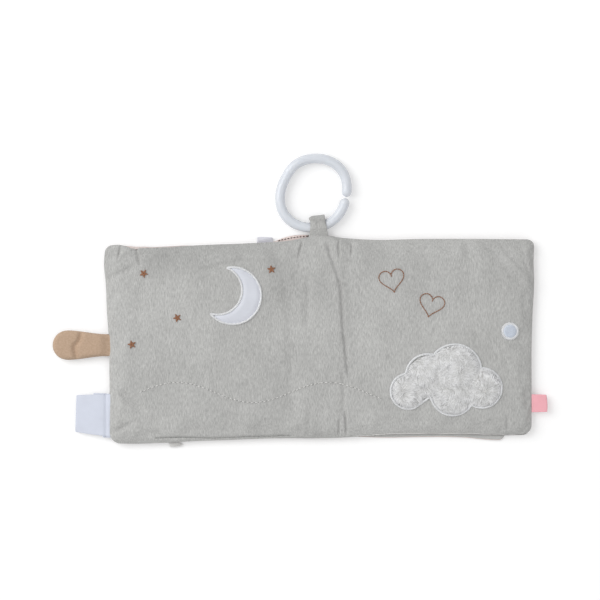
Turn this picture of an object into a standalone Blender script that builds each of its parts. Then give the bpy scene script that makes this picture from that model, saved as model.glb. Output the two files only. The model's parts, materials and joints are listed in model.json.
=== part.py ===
"""A baby's crinkle cloth book, lying open with its outer faces up.

The cover cloth is one long panel folded at two lines beside the spine. Each cover is a flat pillow of
an outer cloth and a lining, with batting and a crinkle film inside. A leaf lies under each cover and is
sewn to a binding strip under the spine. Lengths are in metres. X runs across the open book towards the
front cover's fore edge, Y runs up the page towards the ring, and Z is up.
"""
import math

import bmesh
import bpy
from mathutils import Matrix, Vector

# Clearances
CLEAR = 0.0003              # between two pieces that touch on the real book
AXIS_CLEAR = 0.0004         # from a seam to a tab that swings on it

# Cloths
OUTER_CLOTH = 0.0009
LINING_CLOTH = 0.0008
LEAF_CLOTH = 0.0007
FILM = 0.00025
THREAD = 0.0008             # thickness of a sewn thread line
PATCH_CLOTH = 0.0008        # satin and hook-and-loop patches
SEAM_EDGE = 0.0012          # pressed edge beside every seam

# Covers and spine
SPINE_WIDTH = 0.034         # between the two fold lines
FOLD_GAP = 0.00045          # from a fold line to the cloth beside it
FOLD_SLOPE_SHARE = 0.85     # steepness of the pinched cloth beside a fold line
COVER_REACH = 0.1698        # from the middle of the spine to a fore edge
COVER_HEIGHT = 0.157
COVER_CORNER = 0.008
SPINE_OVERHANG = 0.0028      # how much taller the spine lies than the covers
SPINE_SHIFT = -0.0012       # the spine's middle, below the book's middle line
SPINE_PEAK = 0.0028         # how far the ring's loop draws the top edge up
ROLL_RISE = 0.00225         # the cloth's rise beside a seam
EDGE_ROLL = 0.010           # width of that rise along a sewn edge
FOLD_ROLL = 0.014           # width of that rise along a fold line
OUTER_DOME = 0.0007
SPINE_DOME = 0.0009
LINING_RISE = 0.0010
LINING_ROLL = 0.009
LINING_DOME = 0.0001

# How the soft book lies
BACK_SHIFT = -0.0022        # middle of the back cover at its fold
BACK_DROP = 0.0043          # how much lower its fore edge lies
BACK_LEAN = 0.0056          # how far its fore edge leans out at the top
FRONT_SHIFT = -0.0010
FRONT_DROP = -0.0018
FRONT_LEAN = 0.0020

# Batting and film inside
PAD_INSET = 0.0135
PAD_ROUND = 0.0007
COVER_PAD_TOP = 0.0017      # above the seams' level
SPINE_PAD_INSET = 0.0105
SPINE_PAD_TOP = 0.0014

# Leaves
LEAF_FOLD_MARGIN = 0.0036    # from a fold line to the leaf's inner edge
LEAF_FORE_MARGIN = 0.0226    # from a cover's fore edge to the leaf's
LEAF_SHORTER = 0.0015        # how much lower a leaf is than its cover
LEAF_CORNER = 0.007
LEAF_RISE = 0.00055
LEAF_ROLL = 0.006
LEAF_FILM_INSET = 0.010
FRONT_LEAF_SHIFT = -0.0016
FRONT_LEAF_DROP = 0.0026
BACK_LEAF_SHIFT = -0.0021
BACK_LEAF_DROP = 0.0044
BINDING_WIDTH = 0.019
BINDING_SHORTER = 0.0070     # how much lower the binding is than the covers
BINDING_ROUND = 0.0008

# Link ring
RING_RADIUS = 0.0274        # middle of the stroke
RING_STROKE = 0.0078
RING_X = -0.0056
RING_OVAL_SHARE = 0.045
RING_OVAL_DEG = 57.0
RING_SQUARE_SHARE = 0.015
RING_SQUARE_DEG = 40.0
RING_GAP = 0.0012
RING_GAP_DEG = -8.0
RING_POINTS = 52
RING_END_SHARES = (0.05, 0.25, 0.55)

# Ribbon loop for the ring
LOOP_X = -0.0030
LOOP_WIDTH = 0.0136
LOOP_CLOTH = 0.00055
LOOP_STANDOFF = 0.00085     # from the spine's top seam to the open part of the loop
LOOP_SLACK = 0.0003         # spare length past the ring
LOOP_NECK = 0.0010          # thickness of the two plies at the seam
LOOP_ARC_POINTS = 9

# Closing strap
STRAP_Y = -0.0064
STRAP_ROOT_WIDTH = 0.0176
STRAP_WIDTH = 0.0236
STRAP_STANDOFF = 0.0012     # from the fore edge to the strap's first fold
STRAP_LENGTH = 0.0428       # from the first fold to the tip
STRAP_BASE_LENGTH = 0.0140  # from the first fold to the second
STRAP_BACKING = 0.0009
STRAP_PLUSH = 0.0026
STRAP_PLUSH_ROUND = 0.0010
STRAP_MARGIN = 0.0006       # backing shown round the plush
STRAP_FOLD_GAP = 0.0010     # between the two backings at the second fold
STRAP_PATCH_LENGTH = 0.0210
STRAP_PATCH_WIDTH = 0.0140
STRAP_PATCH_START = 0.0030  # from the second fold
STRAP_ARC_POINTS = 11

# Closure dot on the front cover
DOT_X = 0.1508
DOT_Y = 0.0048
DOT_RADIUS = 0.0051
DOT_THICK = 0.0010
DOT_RING_RADIUS = 0.0075
DOT_POINTS = 28

# Care label
LABEL_Y = -0.0622
LABEL_STANDOFF = 0.0010
LABEL_LENGTH = 0.0270
LABEL_HEIGHT = 0.0292
LABEL_PLY = 0.0005
LABEL_TURN_LENGTH = 0.0120
LABEL_TURN_HEIGHT = 0.0360
LABEL_CORNER = 0.0006

# Side tab on the front cover
TAB_Y = -0.0528
TAB_STANDOFF = 0.0010
TAB_LENGTH = 0.0110
TAB_HEIGHT = 0.0144
TAB_THICK = 0.0012
TAB_CORNER = 0.0025

# Ribbon tab and fur trim on the back leaf
LEAF_TAB_X = -0.0444
LEAF_TAB_WIDTH = 0.0128
LEAF_TAB_LENGTH = 0.0041
LEAF_TAB_THICK = 0.0008
LEAF_TAB_CORNER = 0.0010
FUR_X = -0.1165
FUR_WIDTH = 0.0090
FUR_LENGTH = 0.0030
FUR_THICK = 0.0022
FUR_ROUND = 0.0008

# Plush cloud on the front cover
CLOUD_X = 0.1000
CLOUD_Y = -0.0370
CLOUD_WIDTH = 0.0860
CLOUD_HEIGHT_SHARE = 0.30   # of a lobe's radius
CLOUD_LOBE_SHARES = (       # across, up and radius, as shares of the cloud's width
    (-0.350, -0.070, 0.150),
    (-0.170, 0.070, 0.190),
    (0.080, 0.120, 0.230),
    (0.330, -0.040, 0.170),
    (0.060, -0.090, 0.190),
)
CLOUD_EDGE = 0.0020         # outer side of the stitched edge
CLOUD_EDGE_GAP = 0.0008     # from the plush to the stitched edge
CLOUD_OUTLINE_POINTS = 80
LOBE_SEGMENTS = 22
LOBE_RINGS = 10

# Moon and stars on the back cover
MOON_X = -0.0700
MOON_Y = 0.0330
MOON_RADIUS = 0.0225
MOON_BITE_RADIUS = 0.0195
MOON_BITE_OFFSET = 0.0125
MOON_BITE_DEG = 160.0
MOON_EDGE = 0.0012
MOON_POINTS = 22
STAR_RADIUS = 0.0036
STAR_WAIST_SHARE = 0.42
STAR_PLACE_SHARES = (       # across from the fold and up, of the cover, and turn in turns
    (0.14, 0.86, 0.02),
    (0.63, 0.63, 0.07),
    (0.80, 0.86, 0.12),
    (0.87, 0.50, 0.04),
)

# Thread hearts and running stitches
HEART_WIDTH = 0.0200
HEART_POINTS = 26
HEART_PLACE_SHARES = (      # across from the fold and up, of the cover, and turn in turns
    (0.26, 0.80, 0.03),
    (0.46, 0.67, -0.04),
)
RUN_Y = -0.0440             # middle of the wavy line of running stitches
RUN_WAVE = 0.0080
RUN_WAVELENGTH = 0.120
RUN_BACK_START = 0.1440     # from the middle of the spine
RUN_FRONT_END = 0.0480
RUN_FOLD_MARGIN = 0.0030
RUN_STEP = 0.0062
CLOSE_START = 0.1300        # the topstitched closing seam, from the middle of the spine
CLOSE_END = 0.0270
CLOSE_INSET = 0.0036        # above the lower edge
CLOSE_STEP = 0.0150

# Folds in the cloth: start and end as shares of the cover's width and height, then the fold's height
# as a share of the cloth's rise and its width as a share of the edge roll
BACK_FOLD_SHARES = (
    ((1.00, 0.29), (0.80, 0.17), 0.20, 0.90),
    ((0.97, 0.24), (0.76, 0.12), -0.14, 0.80),
    ((0.96, 0.86), (0.80, 0.93), -0.14, 0.80),
    ((0.18, 0.97), (0.05, 0.72), -0.12, 1.20),
    ((0.04, 0.05), (0.05, 0.24), -0.12, 0.90),
)
FRONT_FOLD_SHARES = (
    ((0.78, 0.98), (0.95, 0.76), -0.15, 0.90),
    ((0.70, 0.99), (0.88, 0.74), 0.14, 0.90),
    ((0.05, 0.97), (0.04, 0.70), -0.16, 0.90),
    ((0.02, 0.04), (0.03, 0.26), -0.14, 0.90),
)
COVER_CELLS = 18
SPINE_CELLS = 8
LINING_CELLS = 8
LEAF_CELLS = 8

# Levels and sizes worked out from those above
LEAF_THICK = 2 * (CLEAR / 2 + LEAF_CLOTH + LEAF_RISE)
LINING_DEPTH = CLEAR / 2 + LINING_CLOTH + LINING_RISE + LINING_DOME
SEAM_Z = LEAF_THICK + CLEAR + LINING_DEPTH
OUTER_RIM = CLEAR / 2 + OUTER_CLOTH
LINING_RIM = CLEAR / 2 + LINING_CLOTH
FOLD_X = SPINE_WIDTH / 2
SPINE_HEIGHT = COVER_HEIGHT + SPINE_OVERHANG
LEAF_INNER = FOLD_X + LEAF_FOLD_MARGIN
LEAF_REACH = COVER_REACH - LEAF_FORE_MARGIN
LEAF_HEIGHT = COVER_HEIGHT - LEAF_SHORTER
BINDING_HEIGHT = COVER_HEIGHT - BINDING_SHORTER

COLOURS = {
    "velour": (0.43, 0.43, 0.42), "lining": (0.80, 0.62, 0.60), "page": (0.62, 0.62, 0.61),
    "film": (0.80, 0.82, 0.84), "batting": (0.86, 0.86, 0.84), "thread": (0.30, 0.12, 0.07),
    "pale_thread": (0.62, 0.61, 0.60), "satin": (0.78, 0.79, 0.84), "plush": (0.82, 0.82, 0.80),
    "plastic": (0.80, 0.83, 0.88), "tan": (0.56, 0.40, 0.28), "label": (0.74, 0.77, 0.85),
    "pink": (0.93, 0.45, 0.47), "hook": (0.62, 0.65, 0.72), "ribbon": (0.70, 0.70, 0.74),
}
ROUGHNESS = {"plastic": 0.28, "satin": 0.45, "film": 0.25, "ribbon": 0.5, "label": 0.5}


def clear_scene():
    for old in list(bpy.data.objects):
        bpy.data.objects.remove(old, do_unlink=True)


def new_collection(name):
    collection = bpy.data.collections.new(name)
    bpy.context.scene.collection.children.link(collection)
    return collection


def material(finish):
    found = bpy.data.materials.get(finish)
    if found:
        return found
    made = bpy.data.materials.new(finish)
    made.use_nodes = True
    shader = made.node_tree.nodes["Principled BSDF"]
    shader.inputs["Base Color"].default_value = COLOURS[finish] + (1.0,)
    shader.inputs["Roughness"].default_value = ROUGHNESS.get(finish, 0.9)
    shader.inputs["Metallic"].default_value = 0.0
    return made


class Book:
    """The parts collection, the cutters and the empties that carry each moving piece."""

    def __init__(self):
        self.parts = new_collection("crinkle_cloth_book")
        self.cutters = new_collection("cutters")
        self.carriers = {}

    def carrier(self, name, parent, at, turn=0.0):
        """An empty on a joint's axis, at a place in the book's own frame."""
        empty = bpy.data.objects.new(name, None)
        self.parts.objects.link(empty)
        place = Matrix.Translation(Vector(at)) @ Matrix.Rotation(turn, 4, "Z")
        if parent is None:
            empty.matrix_basis = place
            self.carriers[name] = (empty, Matrix.Identity(4))
            return
        holder, holder_place = self.carriers[parent]
        empty.parent = holder
        empty.matrix_basis = holder_place.inverted() @ place
        self.carriers[name] = (empty, place)

    def add(self, obj, carrier, finish, place=None):
        """Hang a finished object, whose place is in the book's own frame, on its carrier."""
        self.parts.objects.link(obj)
        empty, empty_place = self.carriers[carrier]
        obj.parent = empty
        obj.matrix_basis = empty_place.inverted() @ (place or Matrix.Identity(4))
        obj.data.materials.append(material(finish))
        return obj


class Panel:
    """A four-sided piece of cloth between its fold edge and its fore edge."""

    def __init__(self, side, inner, reach, height, shift, drop, lean, corner, peak=0.0):
        self.side = side
        self.inner = inner
        self.width = reach - inner
        self.height = height
        self.shift = shift
        self.drop = drop
        self.lean = lean
        self.corner = corner
        self.peak = peak

    def middle(self, across):
        return self.shift - self.drop * across / self.width

    def place(self, across, up):
        """The point at a distance from the fold edge and from the lower edge."""
        if self.corner > 0:
            across, up = self.round_corner(across, up)
        lean = 1 + self.lean * (up / self.height - 0.5) / self.width
        lift = self.peak * math.sin(math.pi * across / self.width) * max(2 * up / self.height - 1, 0)
        x = self.side * (self.inner + across * lean)
        return x, self.middle(across) + up - self.height / 2 + lift

    def round_corner(self, across, up):
        """Draw the square fore corners in to arcs."""
        r = self.corner
        p = (across - (self.width - r)) / r
        q_low = (r - up) / r
        q_high = (up - (self.height - r)) / r
        q = max(q_low, q_high)
        if p <= 0 or q <= 0:
            return across, up
        p_round = p * math.sqrt(1 - q * q / 2)
        q_round = q * math.sqrt(1 - p * p / 2)
        across = self.width - r + p_round * r
        up = r - q_round * r if q_low > q_high else self.height - r + q_round * r
        return across, up

    def measure(self, x, y):
        """The distances from the fold edge and the lower edge, away from the corners."""
        across = abs(x) - self.inner
        for _ in range(3):
            up = y - self.middle(across) + self.height / 2
            lean = 1 + self.lean * (up / self.height - 0.5) / self.width
            across = (abs(x) - self.inner) / lean
        return across, up


def seam_roll(distance, width):
    """A quarter-round rise beside a sewn edge."""
    t = min(max((distance - SEAM_EDGE) / width, 0), 1)
    return math.sqrt(1 - (1 - t) ** 2)


def fold_roll(distance, width):
    """A gentler rise beside a fold line, so that two neighbours can fold flat against each other."""
    t = min(max((distance - SEAM_EDGE) / width, 0), 1)
    return 1 - (1 - t) ** 2


class Crown:
    """The height of one cloth of a panel above or below the seams."""

    def __init__(self, panel, rim, rise, roll, dome, folds=(), fold_edges=1):
        self.panel = panel
        self.rim = rim
        self.rise = rise
        self.roll = roll
        self.dome = dome
        self.folds = folds
        self.fold_edges = fold_edges

    def height(self, across, up):
        panel = self.panel
        rest = panel.width - across
        far_side = fold_roll(rest, FOLD_ROLL) if self.fold_edges > 1 else seam_roll(rest, self.roll)
        edge = fold_roll(across, FOLD_ROLL) * far_side
        edge *= seam_roll(up, self.roll) * seam_roll(panel.height - up, self.roll)
        dome = math.sin(math.pi * across / panel.width) * math.sin(math.pi * up / panel.height)
        relief = sum(self.fold_height(fold, across, up) for fold in self.folds)
        free = self.rim + self.rise * edge * (1 + relief) + self.dome * max(dome, 0) * edge
        return min(free, self.pinch(across))

    def pinch(self, across):
        """The most that the cloth may stand up beside a fold line, so that its neighbour folds against it."""
        if self.fold_edges == 0:
            return math.inf
        near = min(across, self.panel.width - across) if self.fold_edges > 1 else across
        return (near + FOLD_GAP) * FOLD_SLOPE_SHARE

    def under(self, across, up, cloth):
        """The height of the cloth's inner face."""
        return max(self.height(across, up) - cloth, CLEAR / 2)

    def fold_height(self, fold, across, up):
        """A soft ridge or valley along a straight line, as a share of the rise."""
        start, end, share, width_share = fold
        a = Vector((start[0] * self.panel.width, start[1] * self.panel.height))
        b = Vector((end[0] * self.panel.width, end[1] * self.panel.height))
        p = Vector((across, up))
        along = (p - a).dot(b - a) / (b - a).length_squared
        nearest = a + (b - a) * min(max(along, 0), 1)
        return share * math.exp(-((p - nearest).length / (width_share * self.roll)) ** 2)

    def top_at(self, x, y):
        return SEAM_Z + self.height(*self.panel.measure(x, y))


def stations(length, cells):
    """Grid lines across a panel: the pressed edges, then closer together near them."""
    inner = length - 2 * SEAM_EDGE
    middle = [
        SEAM_EDGE + inner * (0.5 - 0.5 * math.cos(math.pi * i / (cells - 2))) for i in range(cells - 1)
    ]
    return [0.0] + middle + [length]


def cloth_shell(name, crown, level, up_side, cloth, cells):
    """One cloth of a pillow: a crowned sheet and its inner face, closed all round."""
    panel = crown.panel
    bm = bmesh.new()
    bmesh.ops.create_grid(bm, x_segments=cells, y_segments=cells, size=0.5)
    copy = bmesh.ops.extrude_face_region(bm, geom=bm.faces[:], use_keep_orig=True)
    outer = {item for item in copy["geom"] if isinstance(item, bmesh.types.BMVert)}
    across = stations(panel.width, cells)
    up = stations(panel.height, cells)
    for vert in bm.verts:
        a = across[round((vert.co.x + 0.5) * cells)]
        b = up[round((vert.co.y + 0.5) * cells)]
        x, y = panel.place(a, b)
        height = crown.height(a, b) if vert in outer else crown.under(a, b, cloth)
        vert.co = (x, y, level + up_side * height)
    bmesh.ops.recalc_face_normals(bm, faces=bm.faces)
    return mesh_object(name, bm)


def mesh_object(name, bm, smooth=True):
    mesh = bpy.data.meshes.new(name)
    bm.to_mesh(mesh)
    bm.free()
    if smooth:
        mesh.shade_smooth()
    return bpy.data.objects.new(name, mesh)


def slab(name, low, high, rounding=0.0):
    """A flat block between two corners, with its edges rounded where it is soft."""
    bm = bmesh.new()
    bmesh.ops.create_cube(bm, size=1.0)
    low, high = Vector(low), Vector(high)
    size = high - low
    bmesh.ops.scale(bm, vec=size, verts=bm.verts)
    bmesh.ops.translate(bm, vec=(low + high) / 2, verts=bm.verts)
    obj = mesh_object(name, bm, smooth=False)
    if rounding > 0:
        edge = obj.modifiers.new("soft edge", "BEVEL")
        edge.width = rounding
        edge.segments = 2
    return obj


def flat_shape(name, outlines, thick, rounding=0.0):
    """A flat piece cut along closed outlines, centred on its own middle level."""
    curve = bpy.data.curves.new(name, "CURVE")
    curve.dimensions = "2D"
    curve.fill_mode = "BOTH"
    curve.extrude = thick / 2 - rounding
    if rounding > 0:
        curve.bevel_depth = rounding
        curve.bevel_resolution = 1
        curve.offset = -rounding
    for outline in outlines:
        spline = curve.splines.new("POLY")
        spline.points.add(len(outline) - 1)
        for point, (x, y) in zip(spline.points, outline):
            point.co = (x, y, 0.0, 1.0)
        spline.use_cyclic_u = True
    return bpy.data.objects.new(name, curve)


def thread_line(name, points, thick, closed=False):
    """A sewn thread as a square tube along its points."""
    curve = bpy.data.curves.new(name, "CURVE")
    curve.dimensions = "3D"
    curve.bevel_depth = thick / 2
    curve.bevel_resolution = 0
    curve.use_fill_caps = True
    spline = curve.splines.new("POLY")
    spline.points.add(len(points) - 1)
    for point, place in zip(spline.points, points):
        point.co = tuple(place) + (1.0,)
    spline.use_cyclic_u = closed
    return bpy.data.objects.new(name, curve)


def lift_to(level):
    return Matrix.Translation((0.0, 0.0, level))


def resting_level(crown, points):
    """The lowest level at which a flat piece clears the crown under it."""
    return max(crown.top_at(x, y) for x, y in points) + CLEAR


def circle(x, y, radius, count):
    turn = 2 * math.pi / count
    return [(x + radius * math.cos(turn * i), y + radius * math.sin(turn * i)) for i in range(count)]


def rounded_box(x0, y0, x1, y1, corner):
    """The outline of a box with small round corners."""
    centres = ((x1 - corner, y1 - corner, 0), (x0 + corner, y1 - corner, 1),
               (x0 + corner, y0 + corner, 2), (x1 - corner, y0 + corner, 3))
    outline = []
    for cx, cy, quarter in centres:
        for step in (0, 0.5, 1):
            angle = (quarter + step) * math.pi / 2
            outline.append((cx + corner * math.cos(angle), cy + corner * math.sin(angle)))
    return outline


def spine_panel():
    inner = FOLD_GAP - FOLD_X
    return Panel(1, inner, FOLD_X - FOLD_GAP, SPINE_HEIGHT, SPINE_SHIFT, 0.0, 0.0, 0.0, SPINE_PEAK)


def front_panel():
    return Panel(1, FOLD_X + FOLD_GAP, COVER_REACH, COVER_HEIGHT,
                 FRONT_SHIFT, FRONT_DROP, FRONT_LEAN, COVER_CORNER)


def back_panel():
    return Panel(-1, FOLD_X + FOLD_GAP, COVER_REACH, COVER_HEIGHT,
                 BACK_SHIFT, BACK_DROP, BACK_LEAN, COVER_CORNER)


def front_leaf_panel():
    return Panel(1, LEAF_INNER, LEAF_REACH, LEAF_HEIGHT,
                 FRONT_LEAF_SHIFT, FRONT_LEAF_DROP, 0.0, LEAF_CORNER)


def back_leaf_panel():
    return Panel(-1, LEAF_INNER, LEAF_REACH, LEAF_HEIGHT,
                 BACK_LEAF_SHIFT, BACK_LEAF_DROP, 0.0, LEAF_CORNER)


def pad_corners(panel, inset, low, high):
    """Opposite corners of the largest upright box inside a panel."""
    across = (inset, panel.width - inset)
    xs = sorted(panel.side * (panel.inner + a) for a in across)
    lean = abs(panel.lean) / 2
    drop = abs(panel.drop)
    middle = panel.middle(panel.width / 2)
    half = panel.height / 2 - inset - drop / 2
    return (xs[0] + lean, middle - half, low), (xs[1] - lean, middle + half, high)


def build_cover(book, name, panel, crown, carrier):
    """A cover's two cloths, and the batting and crinkle film between them."""
    book.add(cloth_shell(name + "_cover_outer", crown, SEAM_Z, 1, OUTER_CLOTH, COVER_CELLS),
             carrier, "velour")
    lining = Crown(panel, LINING_RIM, LINING_RISE, LINING_ROLL, LINING_DOME)
    book.add(cloth_shell(name + "_cover_lining", lining, SEAM_Z, -1, LINING_CLOTH, LINING_CELLS),
             carrier, "lining")
    film_low = SEAM_Z - CLEAR / 2 - LINING_RISE + CLEAR
    film_high = film_low + FILM
    low, high = pad_corners(panel, PAD_INSET, film_low, film_high)
    book.add(slab(name + "_crinkle_film", low, high), carrier, "film")
    low, high = pad_corners(panel, PAD_INSET, film_high + CLEAR, SEAM_Z + COVER_PAD_TOP)
    book.add(slab(name + "_batting", low, high, PAD_ROUND), carrier, "batting")


def build_spine(book):
    panel = spine_panel()
    crown = Crown(panel, OUTER_RIM, ROLL_RISE, EDGE_ROLL, SPINE_DOME, fold_edges=2)
    book.add(cloth_shell("spine_outer", crown, SEAM_Z, 1, OUTER_CLOTH, SPINE_CELLS), "spine", "velour")
    lining = Crown(panel, LINING_RIM, LINING_RISE, LINING_ROLL, LINING_DOME, fold_edges=2)
    book.add(cloth_shell("spine_lining", lining, SEAM_Z, -1, LINING_CLOTH, LINING_CELLS),
             "spine", "lining")
    pad_low = SEAM_Z - CLEAR / 2 - LINING_RISE / 2 + CLEAR
    low, high = pad_corners(panel, SPINE_PAD_INSET, pad_low, SEAM_Z + SPINE_PAD_TOP)
    book.add(slab("spine_batting", low, high, PAD_ROUND), "spine", "batting")
    half_width, half_height = BINDING_WIDTH / 2, BINDING_HEIGHT / 2
    low = (-half_width, SPINE_SHIFT - half_height, 0.0)
    high = (half_width, SPINE_SHIFT + half_height, LEAF_THICK)
    book.add(slab("leaf_binding", low, high, BINDING_ROUND), "spine", "page")
    return crown


def build_leaf(book, name, panel, carrier):
    """A page: two cloth faces with a crinkle film between them."""
    crown = Crown(panel, CLEAR / 2 + LEAF_CLOTH, LEAF_RISE, LEAF_ROLL, 0.0, fold_edges=0)
    middle = LEAF_THICK / 2
    book.add(cloth_shell(name + "_upper_face", crown, middle, 1, LEAF_CLOTH, LEAF_CELLS),
             carrier, "page")
    book.add(cloth_shell(name + "_lower_face", crown, middle, -1, LEAF_CLOTH, LEAF_CELLS),
             carrier, "page")
    low, high = pad_corners(panel, LEAF_FILM_INSET, middle - FILM / 2, middle + FILM / 2)
    book.add(slab(name + "_crinkle_film", low, high), carrier, "film")


def ring_radius(angle):
    oval = RING_OVAL_SHARE * math.cos(2 * (angle - math.radians(RING_OVAL_DEG)))
    square = RING_SQUARE_SHARE * math.cos(4 * (angle - math.radians(RING_SQUARE_DEG)))
    return RING_RADIUS * (1 + oval + square)


def spine_top():
    return SPINE_SHIFT + SPINE_HEIGHT / 2 + SPINE_PEAK


def loop_centres():
    """Where the ring's stroke lies in the loop when its widest and its narrowest part pass."""
    low = spine_top() + LOOP_STANDOFF + LOOP_CLOTH + CLEAR + RING_STROKE / 2
    swing = 2 * RING_RADIUS * (RING_OVAL_SHARE + RING_SQUARE_SHARE)
    narrowest = RING_RADIUS - swing / 2
    far_side = LOOP_WIDTH / 2 + abs(LOOP_X - RING_X)
    bow = narrowest - math.sqrt(narrowest ** 2 - far_side ** 2)
    return low, low + swing + bow + LOOP_SLACK


def ring_centre():
    low, _ = loop_centres()
    widest = RING_RADIUS * (1 + RING_OVAL_SHARE + RING_SQUARE_SHARE)
    return Vector((RING_X, low + widest, SEAM_Z))


def ring_points():
    """The stroke's middle line and radius, from one rounded end round to the other."""
    gap_angle = math.radians(RING_GAP_DEG)
    half_gap = RING_GAP / 2 / ring_radius(gap_angle)
    start, end = gap_angle + half_gap, gap_angle + 2 * math.pi - half_gap
    stroke = RING_STROKE / 2
    end_turn = stroke / ring_radius(gap_angle)
    angles = [(start + end_turn * s, math.sqrt(1 - (1 - s) ** 2)) for s in RING_END_SHARES]
    first, last = start + end_turn, end - end_turn
    angles += [(first + (last - first) * i / RING_POINTS, 1.0) for i in range(RING_POINTS + 1)]
    angles += [(end - end_turn * s, math.sqrt(1 - (1 - s) ** 2)) for s in reversed(RING_END_SHARES)]
    centre = ring_centre()
    return [
        (centre + Vector((math.cos(a), math.sin(a), 0)) * ring_radius(a), stroke_share)
        for a, stroke_share in angles
    ]


def build_ring(book):
    curve = bpy.data.curves.new("link_ring", "CURVE")
    curve.dimensions = "3D"
    curve.bevel_depth = RING_STROKE / 2
    curve.bevel_resolution = 2
    curve.use_fill_caps = True
    spline = curve.splines.new("POLY")
    points = ring_points()
    spline.points.add(len(points) - 1)
    for point, (place, stroke_share) in zip(spline.points, points):
        point.co = tuple(place) + (1.0,)
        point.radius = stroke_share
    book.add(bpy.data.objects.new("link_ring", curve), "link_ring_turn", "plastic")


def loop_outline(radius, neck=None):
    """The loop seen from its side: two half circles, with the sewn neck on the outer one."""
    low, high = loop_centres()
    count = LOOP_ARC_POINTS
    outline = []
    for i in range(count):
        angle = math.pi / 2 - math.pi * i / (count - 1)
        outline.append((high + radius * math.cos(angle), radius * math.sin(angle)))
    start_turn = math.asin(neck / 2 / radius) if neck else 0.0
    for i in range(count):
        angle = -math.pi / 2 - (math.pi / 2 - start_turn) * i / (count - 1)
        outline.append((low + radius * math.cos(angle), radius * math.sin(angle)))
    if neck:
        root = spine_top() + AXIS_CLEAR
        outline += [(root, -neck / 2), (root, neck / 2)]
    for i in range(count if neck else count - 1):
        angle = math.pi - start_turn - (math.pi / 2 - start_turn) * i / (count - 1)
        if i or neck:
            outline.append((low + radius * math.cos(angle), radius * math.sin(angle)))
    return outline


def build_loop(book):
    inner = RING_STROKE / 2 + CLEAR
    outlines = [loop_outline(inner + LOOP_CLOTH, LOOP_NECK), loop_outline(inner)]
    loop = flat_shape("ring_loop", outlines, LOOP_WIDTH)
    # The outline's first axis runs along Y and its second along Z, so the ribbon's width is along X.
    place = Matrix(((0, 0, 1, LOOP_X), (1, 0, 0, 0), (0, 1, 0, SEAM_Z), (0, 0, 0, 1)))
    book.add(loop, "ring_loop_flop", "velour", place)


def strap_axis():
    return -(COVER_REACH + STRAP_STANDOFF)


def strap_outline(start, end, margin):
    """Part of the strap between two distances from its first fold, drawn in by a margin."""
    def half_width(distance):
        share = min(distance / (STRAP_LENGTH - STRAP_WIDTH / 2), 1)
        eased = share * share * (3 - 2 * share)
        root = STRAP_ROOT_WIDTH / 2
        return root + (STRAP_WIDTH / 2 - root) * eased - margin

    axis = strap_axis()
    tip = STRAP_LENGTH - STRAP_WIDTH / 2
    upper = [(start, half_width(max(start, 0)))]
    if end < STRAP_LENGTH:
        upper.append((end, half_width(end)))
    else:
        upper += [(start + (tip - start) * s, half_width(start + (tip - start) * s)) for s in (0.33, 0.67)]
        radius = STRAP_WIDTH / 2 - margin
        for i in range(STRAP_ARC_POINTS):
            angle = math.pi / 2 * (1 - i / (STRAP_ARC_POINTS - 1))
            upper.append((tip + radius * math.cos(angle), radius * math.sin(angle)))
        upper.pop()
        upper.append((tip + radius, 0.0))
    lower = [(d, -w) for d, w in reversed(upper) if w > 0]
    return [(axis - d, STRAP_Y + w) for d, w in upper + lower]


def build_strap(book):
    """The closing strap in two stretches, so that it can wrap round the closed book's fore edge."""
    half = STRAP_FOLD_GAP / 2
    root = AXIS_CLEAR + STRAP_ROOT_WIDTH / 2 * BACK_LEAN / COVER_HEIGHT - STRAP_STANDOFF
    plush_level = SEAM_Z + STRAP_BACKING / 2 + CLEAR + STRAP_PLUSH / 2
    stretches = (
        ("strap_base", root, STRAP_BASE_LENGTH - half, CLEAR, "strap_base_fold"),
        ("strap_end", STRAP_BASE_LENGTH + half, STRAP_LENGTH, STRAP_BASE_LENGTH + CLEAR / 2,
         "strap_end_fold"),
    )
    for name, start, end, plush_start, carrier in stretches:
        backing = flat_shape(name + "_backing", [strap_outline(start, end, 0.0)], STRAP_BACKING)
        book.add(backing, carrier, "tan", lift_to(SEAM_Z))
        plush_end = STRAP_BASE_LENGTH - CLEAR / 2 if end < STRAP_LENGTH else STRAP_LENGTH
        outline = strap_outline(plush_start, plush_end, STRAP_MARGIN)
        plush = flat_shape(name + "_plush", [outline], STRAP_PLUSH, STRAP_PLUSH_ROUND)
        book.add(plush, carrier, "tan", lift_to(plush_level))
    near = strap_axis() - STRAP_BASE_LENGTH - STRAP_PATCH_START
    outline = rounded_box(near - STRAP_PATCH_LENGTH, STRAP_Y - STRAP_PATCH_WIDTH / 2,
                          near, STRAP_Y + STRAP_PATCH_WIDTH / 2, STRAP_PATCH_WIDTH / 2)
    patch = flat_shape("strap_loop_patch", [outline], PATCH_CLOTH)
    level = SEAM_Z - STRAP_BACKING / 2 - CLEAR - PATCH_CLOTH / 2
    book.add(patch, "strap_end_fold", "hook", lift_to(level))


def label_place():
    """The label's hinge on the back cover's leaning fore edge, and the edge's angle."""
    panel = back_panel()
    up = LABEL_Y - panel.middle(panel.width) + panel.height / 2
    x, y = panel.place(panel.width, up)
    return Vector((x - LABEL_STANDOFF, y, SEAM_Z)), math.atan(BACK_LEAN / COVER_HEIGHT)


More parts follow.
